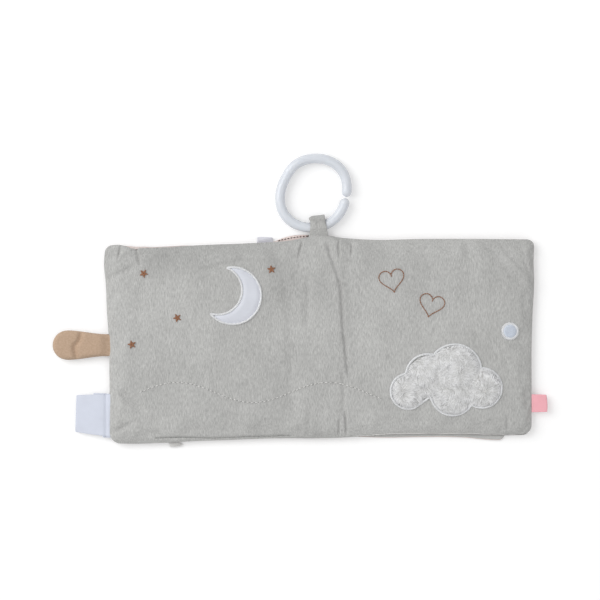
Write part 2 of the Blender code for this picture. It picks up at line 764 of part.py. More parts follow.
def build_label(book):
    at, turn = label_place()
    place = Matrix.Translation(at) @ Matrix.Rotation(turn, 4, "Z")
    start = LABEL_STANDOFF - AXIS_CLEAR
    level = CLEAR / 2 + LABEL_PLY / 2
    plies = (("care_label", LABEL_LENGTH, LABEL_HEIGHT, level),
             ("care_label_under_ply", LABEL_TURN_LENGTH, LABEL_TURN_HEIGHT, -level))
    for name, length, height, lift in plies:
        outline = rounded_box(-length, -height / 2, start, height / 2, LABEL_CORNER)
        ply = flat_shape(name, [outline], LABEL_PLY)
        book.add(ply, "care_label_flop", "label", place @ lift_to(lift))


def side_tab_place():
    panel = front_panel()
    up = TAB_Y - panel.middle(panel.width) + panel.height / 2
    x, y = panel.place(panel.width, up)
    return Vector((x + TAB_STANDOFF, y, SEAM_Z))


def build_side_tab(book):
    at = side_tab_place()
    start = at.x - TAB_STANDOFF + AXIS_CLEAR
    outline = rounded_box(start, at.y - TAB_HEIGHT / 2, at.x + TAB_LENGTH, at.y + TAB_HEIGHT / 2,
                          TAB_CORNER)
    book.add(flat_shape("side_tab", [outline], TAB_THICK), "side_tab_flop", "pink", lift_to(SEAM_Z))


def leaf_tab_place():
    panel = back_leaf_panel()
    top = panel.middle(-LEAF_TAB_X - panel.inner) + panel.height / 2
    tilt = abs(panel.drop) / panel.width * LEAF_TAB_WIDTH / 2
    return Vector((LEAF_TAB_X, top + tilt + AXIS_CLEAR + LEAF_TAB_THICK / 2, LEAF_THICK / 2))


def build_leaf_trims(book):
    """The ribbon tab in the back leaf's top seam and the fur trim at its lower edge."""
    at = leaf_tab_place()
    half = LEAF_TAB_WIDTH / 2
    outline = rounded_box(at.x - half, at.y - LEAF_TAB_THICK / 2, at.x + half, at.y + LEAF_TAB_LENGTH,
                          LEAF_TAB_CORNER)
    tab = flat_shape("leaf_ribbon_tab", [outline], LEAF_TAB_THICK)
    book.add(tab, "leaf_tab_flop", "ribbon", lift_to(at.z))
    panel = back_leaf_panel()
    tilt = abs(panel.drop) / panel.width * FUR_WIDTH / 2
    edge = panel.middle(-FUR_X - panel.inner) - panel.height / 2 - tilt
    low_level = (LEAF_THICK - FUR_THICK) / 2
    low = (FUR_X - FUR_WIDTH / 2, edge - CLEAR - FUR_LENGTH, low_level)
    high = (FUR_X + FUR_WIDTH / 2, edge - CLEAR, low_level + FUR_THICK)
    book.add(slab("leaf_fur_trim", low, high, FUR_ROUND), "back_leaf_fold", "plush")


def cloud_outline(extra):
    """The outline round the cloud's lobes, grown by a margin, read outwards from its middle."""
    lobes = [(x * CLOUD_WIDTH, y * CLOUD_WIDTH, r * CLOUD_WIDTH + extra) for x, y, r in CLOUD_LOBE_SHARES]
    outline = []
    for i in range(CLOUD_OUTLINE_POINTS):
        angle = 2 * math.pi * i / CLOUD_OUTLINE_POINTS
        dx, dy = math.cos(angle), math.sin(angle)
        reach = 0.0
        for x, y, r in lobes:
            along = x * dx + y * dy
            inside = r * r - x * x - y * y + along * along
            if inside > 0:
                reach = max(reach, along + math.sqrt(inside))
        outline.append((CLOUD_X + reach * dx, CLOUD_Y + reach * dy))
    return outline


def build_cloud(book, crown):
    """The plush cloud: flattened balls joined into one, cut level where it is sewn down."""
    level = resting_level(crown, cloud_outline(CLOUD_EDGE) + [(CLOUD_X, CLOUD_Y)])
    body = None
    for number, (x, y, r) in enumerate(CLOUD_LOBE_SHARES):
        bm = bmesh.new()
        radius = r * CLOUD_WIDTH
        bmesh.ops.create_uvsphere(bm, u_segments=LOBE_SEGMENTS, v_segments=LOBE_RINGS, radius=radius)
        bmesh.ops.scale(bm, vec=(1, 1, CLOUD_HEIGHT_SHARE), verts=bm.verts)
        centre = (CLOUD_X + x * CLOUD_WIDTH, CLOUD_Y + y * CLOUD_WIDTH, level)
        bmesh.ops.translate(bm, vec=centre, verts=bm.verts)
        if body is None:
            body = book.add(mesh_object("cloud_plush", bm), "front_cover_lift", "plush")
            continue
        lobe = cutter(book, mesh_object("cloud_lobe_%d" % number, bm))
        union = body.modifiers.new("lobe", "BOOLEAN")
        union.operation = "UNION"
        union.object = lobe
    bm = bmesh.new()
    bmesh.ops.create_cube(bm, size=2 * CLOUD_WIDTH)
    bmesh.ops.translate(bm, vec=(CLOUD_X, CLOUD_Y, level - CLOUD_WIDTH), verts=bm.verts)
    cut = body.modifiers.new("sewn flat", "BOOLEAN")
    cut.operation = "DIFFERENCE"
    cut.object = cutter(book, mesh_object("cloud_base_cut", bm))
    edge = flat_shape("cloud_edge_stitch", [cloud_outline(CLOUD_EDGE), cloud_outline(CLOUD_EDGE_GAP)], THREAD)
    book.add(edge, "front_cover_lift", "satin", lift_to(level + THREAD / 2))


def cutter(book, obj):
    """A tool for a Boolean, carried with the front cover that it shapes."""
    book.cutters.objects.link(obj)
    empty, place = book.carriers["front_cover_lift"]
    obj.parent = empty
    obj.matrix_basis = place.inverted()
    obj.hide_render = True
    obj.display_type = "WIRE"
    return obj


def crescent(extra):
    """A crescent grown by a margin: a disc with a smaller disc taken out of one side."""
    outer = MOON_RADIUS + extra
    bite = MOON_BITE_RADIUS - extra
    offset = MOON_BITE_OFFSET
    tip_x = (outer ** 2 - bite ** 2 + offset ** 2) / (2 * offset)
    tip_y = math.sqrt(outer ** 2 - tip_x ** 2)
    outer_turn = math.atan2(tip_y, tip_x)
    bite_turn = math.atan2(tip_y, tip_x - offset)
    points = []
    for i in range(MOON_POINTS):
        angle = outer_turn + (2 * math.pi - 2 * outer_turn) * i / MOON_POINTS
        points.append(Vector((outer * math.cos(angle), outer * math.sin(angle))))
    for i in range(MOON_POINTS):
        angle = -bite_turn - (2 * math.pi - 2 * bite_turn) * i / MOON_POINTS
        points.append(Vector((offset + bite * math.cos(angle), bite * math.sin(angle))))
    turn = Matrix.Rotation(math.radians(MOON_BITE_DEG), 2)
    return [(MOON_X + p.x, MOON_Y + p.y) for p in (turn @ point for point in points)]


def build_moon(book, crown):
    level = resting_level(crown, crescent(MOON_EDGE))
    moon = flat_shape("moon_patch", [crescent(0.0)], PATCH_CLOTH)
    book.add(moon, "back_cover_lift", "satin", lift_to(level + PATCH_CLOTH / 2))
    edge = flat_shape("moon_edge_stitch", [crescent(MOON_EDGE), crescent(CLEAR)], THREAD)
    book.add(edge, "back_cover_lift", "satin", lift_to(level + THREAD / 2))


def star_outline(x, y, turn):
    outline = []
    for i in range(10):
        radius = STAR_RADIUS if i % 2 == 0 else STAR_RADIUS * STAR_WAIST_SHARE
        angle = math.pi / 2 + 2 * math.pi * (turn + i / 10)
        outline.append((x + radius * math.cos(angle), y + radius * math.sin(angle)))
    return outline


def build_stars(book, panel, crown):
    for number, (across, up, turn) in enumerate(STAR_PLACE_SHARES, 1):
        x, y = panel.place(across * panel.width, up * panel.height)
        outline = star_outline(x, y, turn)
        level = resting_level(crown, outline + [(x, y)])
        star = flat_shape("star_%d" % number, [outline], THREAD)
        book.add(star, "back_cover_lift", "thread", lift_to(level + THREAD / 2))


def heart_outline(x, y, turn):
    """A plain heart, its width set by the named size."""
    scale = HEART_WIDTH / 32
    turned = Matrix.Rotation(2 * math.pi * turn, 2)
    outline = []
    for i in range(HEART_POINTS):
        t = 2 * math.pi * (i + 0.5) / HEART_POINTS
        across = 16 * math.sin(t) ** 3
        up = 13 * math.cos(t) - 5 * math.cos(2 * t) - 2 * math.cos(3 * t) - math.cos(4 * t)
        point = turned @ Vector((across * scale, up * scale))
        outline.append((x + point.x, y + point.y))
    return outline


def on_cloth(crown, x, y):
    return x, y, crown.top_at(x, y) + CLEAR + THREAD / 2


def build_hearts(book, panel, crown):
    for number, (across, up, turn) in enumerate(HEART_PLACE_SHARES, 1):
        x, y = panel.place(across * panel.width, up * panel.height)
        points = [on_cloth(crown, *point) for point in heart_outline(x, y, turn)]
        heart = thread_line("thread_heart_%d" % number, points, THREAD, closed=True)
        book.add(heart, "front_cover_lift", "thread")


def run_points(crown, start, end):
    """Points along the wavy line of running stitches, on one piece of cloth."""
    count = max(round((end - start) / RUN_STEP), 2)
    points = []
    for i in range(count + 1):
        x = start + (end - start) * i / count
        y = RUN_Y + RUN_WAVE * math.sin(2 * math.pi * (x + RUN_BACK_START) / RUN_WAVELENGTH)
        points.append(on_cloth(crown, x, y))
    return points


def build_running_stitches(book, back_crown, spine_crown, front_crown):
    beside = FOLD_X + RUN_FOLD_MARGIN
    on_spine = FOLD_X - RUN_FOLD_MARGIN
    stretches = (
        ("back_running_stitches", back_crown, -RUN_BACK_START, -beside, "back_cover_lift"),
        ("spine_running_stitches", spine_crown, -on_spine, on_spine, "spine"),
        ("front_running_stitches", front_crown, beside, RUN_FRONT_END, "front_cover_lift"),
    )
    for name, crown, start, end, carrier in stretches:
        book.add(thread_line(name, run_points(crown, start, end), THREAD), carrier, "pale_thread")


def build_closing_seam(book, panel, crown):
    count = max(round((CLOSE_START - CLOSE_END) / CLOSE_STEP), 2)
    points = []
    for i in range(count + 1):
        across = CLOSE_END + (CLOSE_START - CLOSE_END) * i / count - panel.inner
        x, y = panel.place(across, CLOSE_INSET)
        points.append(on_cloth(crown, x, y))
    seam = thread_line("closing_seam_stitches", points, THREAD)
    book.add(seam, "back_cover_lift", "pale_thread")


def build_dot(book, crown):
    rim = circle(DOT_X, DOT_Y, DOT_RING_RADIUS, DOT_POINTS)
    level = resting_level(crown, rim)
    dot = flat_shape("closure_dot", [circle(DOT_X, DOT_Y, DOT_RADIUS, DOT_POINTS)], DOT_THICK)
    book.add(dot, "front_cover_lift", "hook", lift_to(level + DOT_THICK / 2))
    inner = circle(DOT_X, DOT_Y, DOT_RADIUS + CLEAR, DOT_POINTS)
    stitches = flat_shape("closure_dot_stitching", [rim, inner], THREAD)
    book.add(stitches, "front_cover_lift", "satin", lift_to(level + THREAD / 2))


def box_middle():
    """The middle of the whole part's box, in the book's own frame."""
    left = strap_axis() - STRAP_LENGTH
    right = side_tab_place().x + TAB_LENGTH
    stroke = RING_STROKE / 2
    top = max(place.y for place, _ in ring_points()) + stroke
    leaf = back_leaf_panel()
    tilt = abs(leaf.drop) / leaf.width * FUR_WIDTH / 2
    fur_edge = leaf.middle(-FUR_X - leaf.inner) - leaf.height / 2 - tilt
    bottom = fur_edge - CLEAR - FUR_LENGTH
    return (left + right) / 2, (bottom + top) / 2


def build_carriers(book):
    """One empty for the spine and one on the axis of each joint."""
    x, y = box_middle()
    book.carrier("spine", None, (-x, -y, 0.0))
    book.carrier("front_leaf_fold", "spine", (FOLD_X, 0.0, SEAM_Z))
    book.carrier("front_cover_lift", "front_leaf_fold", (FOLD_X, 0.0, SEAM_Z))
    book.carrier("side_tab_flop", "front_cover_lift", side_tab_place())
    book.carrier("back_leaf_fold", "spine", (-FOLD_X, 0.0, SEAM_Z))
    book.carrier("leaf_tab_flop", "back_leaf_fold", leaf_tab_place())
    book.carrier("back_cover_lift", "back_leaf_fold", (-FOLD_X, 0.0, SEAM_Z))
    label_at, label_turn = label_place()
    book.carrier("care_label_flop", "back_cover_lift", label_at, label_turn)
    book.carrier("strap_base_fold", "back_cover_lift", (strap_axis(), STRAP_Y, SEAM_Z))
    second = strap_axis() - STRAP_BASE_LENGTH
    book.carrier("strap_end_fold", "strap_base_fold", (second, STRAP_Y, SEAM_Z))
    loop_axis = spine_top() + AXIS_CLEAR + LOOP_NECK / 2
    book.carrier("ring_loop_flop", "spine", (LOOP_X, loop_axis, SEAM_Z))
    book.carrier("link_ring_turn", "ring_loop_flop", ring_centre())


def print_places(book):
    """The joint axes in world space, for whoever poses the book."""
    bpy.context.view_layer.update()
    for name, (empty, _) in book.carriers.items():
        place = empty.matrix_world
        axis_y = place.to_3x3() @ Vector((0, 1, 0))
        print("axis", name, [round(v, 6) for v in place.translation], [round(v, 6) for v in axis_y])


def main():
    clear_scene()
    book = Book()
    build_carriers(book)
    back, front = back_panel(), front_panel()
    back_crown = Crown(back, OUTER_RIM, ROLL_RISE, EDGE_ROLL, OUTER_DOME, BACK_FOLD_SHARES)
    front_crown = Crown(front, OUTER_RIM, ROLL_RISE, EDGE_ROLL, OUTER_DOME, FRONT_FOLD_SHARES)
    spine_crown = build_spine(book)
    build_leaf(book, "back_leaf", back_leaf_panel(), "back_leaf_fold")
    build_leaf(book, "front_leaf", front_leaf_panel(), "front_leaf_fold")
    build_leaf_trims(book)
    build_cover(book, "back", back, back_crown, "back_cover_lift")
    build_cover(book, "front", front, front_crown, "front_cover_lift")
    build_moon(book, back_crown)
    build_stars(book, back, back_crown)
    build_closing_seam(book, back, back_crown)
    build_cloud(book, front_crown)
    build_hearts(book, front, front_crown)
    build_dot(book, front_crown)
    build_running_stitches(book, back_crown, spine_crown, front_crown)
    build_strap(book)
    build_label(book)
    build_side_tab(book)
    build_loop(book)
    build_ring(book)
    print_places(book)


main()
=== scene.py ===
# %% [markdown]
# A baby's crinkle cloth book
#
# The real book is a soft toy. Grey velour covers lie open with their outer faces up, over two pages
# of thin cloth with crackling film inside. A white ring hangs on a loop at the top of the spine, a
# tan strap closes the book, and a plush cloud, a moon, stars and hearts decorate it.
#
# The moving solids come from a CAD model, which is loaded first and never changed. Every piece made here is
# laid over one of those solids, and many of them hang on the same body.

import json
import math
import random

import bpy
import numpy as np
from mathutils import Matrix, Vector, noise


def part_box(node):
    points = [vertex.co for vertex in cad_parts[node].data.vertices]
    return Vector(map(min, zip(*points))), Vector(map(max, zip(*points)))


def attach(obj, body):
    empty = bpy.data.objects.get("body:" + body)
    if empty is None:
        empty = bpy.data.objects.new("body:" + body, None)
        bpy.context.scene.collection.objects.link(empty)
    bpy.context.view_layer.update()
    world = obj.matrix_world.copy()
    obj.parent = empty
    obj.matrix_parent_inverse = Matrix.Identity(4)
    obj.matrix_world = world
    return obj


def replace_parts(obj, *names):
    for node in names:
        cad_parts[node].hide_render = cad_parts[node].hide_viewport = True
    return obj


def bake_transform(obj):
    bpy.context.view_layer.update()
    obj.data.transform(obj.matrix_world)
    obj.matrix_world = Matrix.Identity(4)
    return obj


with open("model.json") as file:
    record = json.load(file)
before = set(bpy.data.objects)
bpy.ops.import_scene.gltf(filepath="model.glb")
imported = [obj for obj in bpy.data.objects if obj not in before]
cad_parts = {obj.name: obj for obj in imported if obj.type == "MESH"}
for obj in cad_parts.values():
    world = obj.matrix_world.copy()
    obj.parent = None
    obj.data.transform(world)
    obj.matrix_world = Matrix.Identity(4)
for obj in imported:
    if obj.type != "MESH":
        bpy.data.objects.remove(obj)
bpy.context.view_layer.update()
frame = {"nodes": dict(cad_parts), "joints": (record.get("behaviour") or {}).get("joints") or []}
joints = {joint["name"]: joint for joint in frame["joints"]}

# %% [markdown]
# All places are measured from the middle of the spine, in a frame of the book's own: x runs to the right
# and y up the page. Two fold lines beside the spine and the level of the sewn edges come from the frame's
# hinges, so that the cloth is cut just where the solids turn.

# %% The book's own frame
FOLD_LEFT = Vector(joints["back_cover_lift"]["pos_m"])
FOLD_RIGHT = Vector(joints["front_cover_lift"]["pos_m"])
BOOK = (FOLD_LEFT + FOLD_RIGHT) / 2
SEAM_Z = BOOK.z
HALF_SPINE = (FOLD_RIGHT.x - FOLD_LEFT.x) / 2
LEAF_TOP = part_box("leaf_binding")[1].z
print("spine %.1f mm wide, seams at %.2f mm" % (2000 * HALF_SPINE, 1000 * SEAM_Z))


def at(x, y, z=0.0):
    """A place given in the book's own frame, in the frame of the CAD model."""
    return Vector((BOOK.x + x, BOOK.y + y, z))


# %% [markdown]
# Blender's operators act on whatever is selected, so each step starts by selecting only what it
# means to change. These few helpers select a piece, read and write its vertices as one array, turn
# its faces and apply its modifiers. Moving the vertices in code is sculpting with formulas.

# %% Helpers for selecting, sculpting and finishing
MERGE_REACH = 0.00001


def deselect():
    if bpy.context.object and bpy.context.object.mode != "OBJECT":
        bpy.ops.object.mode_set(mode="OBJECT")
    bpy.ops.object.select_all(action="DESELECT")


def take(obj):
    deselect()
    obj.select_set(True)
    bpy.context.view_layer.objects.active = obj
    return obj


def named(name):
    """Gives the primitive that was just added its name."""
    obj = bpy.context.object
    obj.name = name
    obj.data.name = name
    return obj


def points_of(obj):
    flat = np.empty(3 * len(obj.data.vertices))
    obj.data.vertices.foreach_get("co", flat)
    return flat.reshape(-1, 3)


def move_points(obj, points):
    obj.data.vertices.foreach_set("co", np.asarray(points, dtype=float).ravel())
    obj.data.update()


def apply_modifiers(obj):
    take(obj)
    for modifier in list(obj.modifiers):
        bpy.ops.object.modifier_apply(modifier=modifier.name)
    return obj


def settle(obj, smooth=True):
    """Puts the object's place and turn into its mesh, and smooths its shading."""
    take(obj)
    bpy.ops.object.transform_apply(location=True, rotation=True, scale=True)
    if smooth:
        bpy.ops.object.shade_smooth()
    return obj


def join(objects, name):
    deselect()
    for obj in objects:
        obj.select_set(True)
    bpy.context.view_layer.objects.active = objects[0]
    if len(objects) > 1:
        bpy.ops.object.join()
    return named(name)


def smoothed(obj):
    take(obj)
    bpy.ops.object.shade_smooth()
    return obj


def open_up(obj):
    """Opens a piece in edit mode, with all of it selected."""
    take(obj)
    bpy.ops.object.mode_set(mode="EDIT")
    bpy.ops.mesh.select_all(action="SELECT")


def face_outwards(obj, merge=True):
    """Turns every face outwards, after points in one place are merged."""
    open_up(obj)
    if merge:
        bpy.ops.mesh.remove_doubles(threshold=MERGE_REACH)
    bpy.ops.mesh.normals_make_consistent(inside=False)
    bpy.ops.object.mode_set(mode="OBJECT")
    return obj


def turn_over(obj):
    """Flips every face of a piece."""
    open_up(obj)
    bpy.ops.mesh.flip_normals()
    bpy.ops.object.mode_set(mode="OBJECT")


def centres_of(obj):
    flat = np.empty(3 * len(obj.data.polygons))
    obj.data.polygons.foreach_get("center", flat)
    return flat.reshape(-1, 3)


def delete_faces(obj, chosen, kind="FACE"):
    """Deletes the chosen faces. The kind ONLY_FACE leaves their edges in place."""
    take(obj)
    mesh = obj.data
    mesh.vertices.foreach_set("select", np.zeros(len(mesh.vertices), dtype=bool))
    mesh.edges.foreach_set("select", np.zeros(len(mesh.edges), dtype=bool))
    mesh.polygons.foreach_set("select", chosen)
    bpy.ops.object.mode_set(mode="EDIT")
    bpy.ops.mesh.select_mode(type="FACE")
    bpy.ops.mesh.delete(type=kind)
    bpy.ops.object.mode_set(mode="OBJECT")


def subdivided(obj, levels):
    """Smooths a cage with a Subdivision Surface modifier, which is then applied."""
    smoother = obj.modifiers.new("smooth", "SUBSURF")
    smoother.levels = levels
    smoother.render_levels = levels
    return apply_modifiers(obj)


def thickened(obj, thick):
    """Gives a sheet its thickness, on the side away from its faces."""
    wall = obj.modifiers.new("cloth", "SOLIDIFY")
    wall.thickness = thick
    wall.offset = -1.0
    return apply_modifiers(obj)


def wear(obj, finish, body=None):
    """Dresses a finished piece and hangs it on its body."""
    if len(obj.data.materials) > 1:
        obj.data.materials[0] = finish
    else:
        obj.data.materials.clear()
        obj.data.materials.append(finish)
    if body:
        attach(obj, body)
    print(obj.name, len(obj.data.polygons), "faces")
    return obj


# %% [markdown]
# A cut edge or a crease is drawn as a smooth curve through a few knots, like a flexible ruler bent
# through pins. Between two knots it is a cubic whose slope at each knot comes from its neighbours.

# %% Curves through knots
def curve_through(knots, where):
    xs, ys = np.array(sorted(knots)).T
    slopes = np.gradient(ys, xs)
    k = np.clip(np.searchsorted(xs, where) - 1, 0, len(xs) - 2)
    span = xs[k + 1] - xs[k]
    u = np.clip((where - xs[k]) / span, 0, 1)
    rise = (3 - 2 * u) * u * u
    return (ys[k] + (ys[k + 1] - ys[k]) * rise
            + span * slopes[k] * u * (1 - u) ** 2 - span * slopes[k + 1] * u * u * (1 - u))


def eased(share):
    """0 to 1 with a gentle start and end."""
    share = np.clip(share, 0, 1)
    return share * share * (3 - 2 * share)


def rolled(distance, width):
    """A quarter circle's rise from 0 at a sewn edge to 1 at the width of its roll."""
    return np.sqrt(1 - (1 - np.clip(distance / width, 0, 1)) ** 2)


def soft_noise(points, size, seed=0.0):
    """Smooth random waves of a given size, between about -1 and 1."""
    return np.array([noise.noise(Vector(p) / size + Vector((seed, 2 * seed, 0))) for p in points])


# %% [markdown]
# Every finish is a Principled material with a little pattern of its own. Each one starts from the
# same helper, which sets the plain numbers on the shader's own sockets. Patterns read Object
# coordinates, so that they run on without a break from one piece of cloth to its neighbour.

# %% Helpers for finishes
def new_finish(name, colour, roughness, sheen=0.0, specular=0.5):
    finish = bpy.data.materials.new(name)
    finish.use_nodes = True
    shader = finish.node_tree.nodes["Principled BSDF"]
    shader.inputs["Base Color"].default_value = colour + (1.0,)
    shader.inputs["Roughness"].default_value = roughness
    shader.inputs["Specular IOR Level"].default_value = specular
    shader.inputs["Sheen Weight"].default_value = sheen
    shader.inputs["Sheen Roughness"].default_value = 0.4
    return finish


class Pattern:
    """A small builder of noise, colour and bump in one material."""

    def __init__(self, finish):
        self.tree = finish.node_tree
        self.shader = self.tree.nodes["Principled BSDF"]
        self.colour = None
        self.height = None

    def node(self, kind, **settings):
        made = self.tree.nodes.new(kind)
        for key, value in settings.items():
            setattr(made, key, value)
        return made

    def link(self, source, target):
        self.tree.links.new(source, target)

    def place(self, stretch=(1, 1, 1), turn=0.0, output="Object"):
        where = self.node("ShaderNodeTexCoord")
        mapping = self.node("ShaderNodeMapping")
        mapping.inputs["Scale"].default_value = stretch
        mapping.inputs["Rotation"].default_value = (0, 0, turn)
        self.link(where.outputs[output], mapping.inputs["Vector"])
        return mapping.outputs["Vector"]

    def clouds(self, size, stretch=(1, 1, 1), detail=2.0, rough=0.5, output="Object"):
        made = self.node("ShaderNodeTexNoise")
        made.inputs["Scale"].default_value = 1 / size
        made.inputs["Detail"].default_value = detail
        made.inputs["Roughness"].default_value = rough
        self.link(self.place(stretch, output=output), made.inputs["Vector"])
        return made.outputs["Fac"]

    def threads(self, pitch, turn=0.0, waver=0.0, output="Object"):
        """Fine parallel ridges, one for each thread."""
        made = self.node("ShaderNodeTexWave", wave_type="BANDS", bands_direction="X", wave_profile="SIN")
        made.inputs["Scale"].default_value = 0.314 / pitch
        made.inputs["Distortion"].default_value = waver
        made.inputs["Detail"].default_value = 1.0
        self.link(self.place(turn=turn, output=output), made.inputs["Vector"])
        return made.outputs["Fac"]

    def weave(self, pitch):
        """Warp and weft threads, the higher one on top."""
        made = self.node("ShaderNodeMath", operation="MAXIMUM")
        self.link(self.threads(pitch), made.inputs[0])
        self.link(self.threads(pitch, turn=math.pi / 2), made.inputs[1])
        return made.outputs["Value"]

    def ramp(self, factor, start, end, low=0.0, high=1.0):
        """Maps a factor between start and end to a value between low and high."""
        made = self.node("ShaderNodeMapRange")
        made.inputs["From Min"].default_value = start
        made.inputs["From Max"].default_value = end
        made.inputs["To Min"].default_value = low
        made.inputs["To Max"].default_value = high
        self.link(factor, made.inputs["Value"])
        return made.outputs["Result"]

    def mix_over(self, blend_type):
        """A Mix node over the colour so far. Input 6 is the colour below, and 7 the one on top."""
        mix = self.node("ShaderNodeMix", data_type="RGBA", blend_type=blend_type)
        if self.colour is None:
            mix.inputs[6].default_value = self.shader.inputs["Base Color"].default_value
        else:
            self.link(self.colour, mix.inputs[6])
        self.colour = mix.outputs[2]
        self.link(self.colour, self.shader.inputs["Base Color"])
        return mix

    def tint(self, factor, low, high, start=0.3, end=0.7):
        """Multiplies the colour by a shade between low and high."""
        mix = self.mix_over("MULTIPLY")
        mix.inputs["Factor"].default_value = 1.0
        self.link(self.ramp(factor, start, end, low, high), mix.inputs[7])
        return self

    def blend_to(self, factor, colour, start=0.3, end=0.7):
        """Mixes another colour in where the factor is high."""
        mix = self.mix_over("MIX")
        self.link(self.ramp(factor, start, end), mix.inputs["Factor"])
        mix.inputs[7].default_value = colour + (1.0,)
        return self

    def bump(self, factor, depth, strength=1.0):
        """Adds relief of a real depth, over any that is there already."""
        made = self.node("ShaderNodeBump")
        made.inputs["Strength"].default_value = strength
        made.inputs["Distance"].default_value = depth
        self.link(factor, made.inputs["Height"])
        if self.height is not None:
            self.link(self.height, made.inputs["Normal"])
        self.height = made.outputs["Normal"]
        self.link(self.height, self.shader.inputs["Normal"])
        return self


# %% [markdown]
# Velour is a knit with a short cut pile, brushed down the page. Its colour comes in fine streaks a few
# millimetres long where the pile leans, over broad soft patches that vary at random. The sheen is the light
# that the pile's tips catch. Noise stretched along y gives the streaks. Painted shade lies in a few patches
# that have to be in a given place, so the mesh carries them in an attribute named painted_shade.

# %% Velour
VELOUR_GREY = (0.486, 0.486, 0.474)
STREAK = 0.00052
PILE = 0.00024
velour = new_finish("grey_velour", VELOUR_GREY, 0.95, sheen=0.2, specular=0.15)
pattern = Pattern(velour)
pattern.tint(pattern.clouds(0.040, detail=1.0), 0.955, 1.045)
pattern.tint(pattern.clouds(0.012, stretch=(1, 0.5, 1), detail=2.0), 0.965, 1.035)
pattern.tint(pattern.clouds(STREAK, stretch=(1, 0.16, 1), detail=1.0), 0.80, 1.20, 0.25, 0.75)
# Painted shade: the velour is darkened by the share that the mesh carries in this attribute.
painted_shade = pattern.node("ShaderNodeAttribute", attribute_name="painted_shade")
pattern.tint(painted_shade.outputs["Fac"], 1.0, 0.0, 0.0, 1.0)
pattern.tint(pattern.clouds(PILE, stretch=(1, 0.5, 1), detail=1.0), 0.90, 1.10)
pattern.bump(pattern.clouds(STREAK, stretch=(1, 0.25, 1)), 0.00025, 0.8)
pattern.bump(pattern.clouds(PILE, stretch=(1, 0.6, 1)), 0.00010, 0.8)
print("velour", VELOUR_GREY)

# %% [markdown]
# The lining, the pages and the ribbons are woven. A weave is two sets of fine parallel threads that
# cross, so two wave textures at a right angle make its relief. Satin has long floats in one direction
# only, which is why it shines, and the brushed lining has a little fluff over its threads.

# %% Woven cloths
WEAVE = 0.00045


def woven(name, colour, roughness, sheen, fluff):
    finish = new_finish(name, colour, roughness, sheen=sheen, specular=0.25)
    cloth = Pattern(finish)
    cloth.tint(cloth.clouds(0.018, detail=3.0), 0.96, 1.03)
    cloth.tint(cloth.clouds(0.0006, detail=2.0), 1 - fluff, 1 + fluff)
    cloth.bump(cloth.weave(WEAVE), 0.00006, 0.6)
    cloth.bump(cloth.clouds(0.0005), 0.00008, 0.5)
    return finish


def shiny_ribbon(name, colour, roughness, pitch, turn=0.0):
    finish = new_finish(name, colour, roughness, sheen=0.1, specular=0.5)
    cloth = Pattern(finish)
    cloth.tint(cloth.clouds(0.010, detail=2.0), 0.965, 1.02)
    # Painted shade: the grooves between the threads are a little darker.
    cloth.tint(cloth.threads(pitch, turn=turn, waver=0.4), 0.95, 1.03, 0.0, 1.0)
    cloth.bump(cloth.threads(pitch, turn=turn, waver=0.4), 0.00004, 0.5)
    return finish


lining_cloth = woven("pink_lining", (0.680, 0.595, 0.570), 0.9, 0.15, 0.05)
page_cloth = woven("pink_page", (0.800, 0.690, 0.655), 0.9, 0.15, 0.05)
satin = shiny_ribbon("white_satin", (0.688, 0.708, 0.770), 0.42, 0.00030)
label_satin = shiny_ribbon("label_satin", (0.665, 0.700, 0.800), 0.45, 0.00030, turn=math.pi / 2)
tab_ribbon = shiny_ribbon("white_ribbon", (0.700, 0.700, 0.760), 0.6, 0.00040)
pink_ribbon = shiny_ribbon("pink_ribbon", (0.960, 0.465, 0.520), 0.6, 0.00040)
print("woven cloths ready")

# %% [markdown]
# Thread is twisted yarn: fine slanting ridges along a slim cord, with painted shade in the grooves between
# them. The satin stitch round the moon and the cloud is the same thread laid side by side, and the brown
# thread has a slight copper sheen.

# %% Threads
def thread_finish(name, colour, roughness, sheen, pitch=0.00035):
    finish = new_finish(name, colour, roughness, sheen=sheen, specular=0.45)
    yarn = Pattern(finish)
    yarn.tint(yarn.clouds(0.0010, detail=2.0), 0.88, 1.08)
    # Painted shade in the grooves between the twists.
    yarn.tint(yarn.threads(pitch, turn=0.7, waver=0.6), 0.84, 1.06, 0.0, 1.0)
    yarn.bump(yarn.threads(pitch, turn=0.7, waver=0.6), 0.00010, 0.8)
    return finish


dark_thread = thread_finish("dark_thread", (0.110, 0.065, 0.055), 0.6, 0.1)
brown_thread = thread_finish("brown_thread", (0.345, 0.155, 0.080), 0.5, 0.2)
bright_thread = thread_finish("bright_white_thread", (0.940, 0.950, 0.965), 0.45, 0.2)
pale_thread = thread_finish("pale_grey_thread", (0.800, 0.795, 0.775), 0.6, 0.2)
print("threads ready")

# %% [markdown]
# Plush has a longer pile than velour, in small locks, and its finish has painted shade in the gaps between
# them: a darker colour blended in where the lock noise is low. The ring is smooth moulded plastic that lets
# a little light in, so it gets some subsurface scattering and a sharp gloss.

# %% Plush and plastic
def plush_finish(name, colour, shade_between_locks, lock):
    finish = new_finish(name, colour, 0.95, sheen=0.3, specular=0.1)
    pile = Pattern(finish)
    # Painted shade between the locks.
    pile.blend_to(pile.clouds(lock, detail=2.0, rough=0.5), shade_between_locks, 0.66, 0.30)
    pile.tint(pile.clouds(0.0003, detail=1.0), 0.94, 1.05)
    pile.bump(pile.clouds(lock, detail=3.0), 0.00030, 0.6)
    pile.bump(pile.clouds(0.0003), 0.00012, 0.8)
    return finish


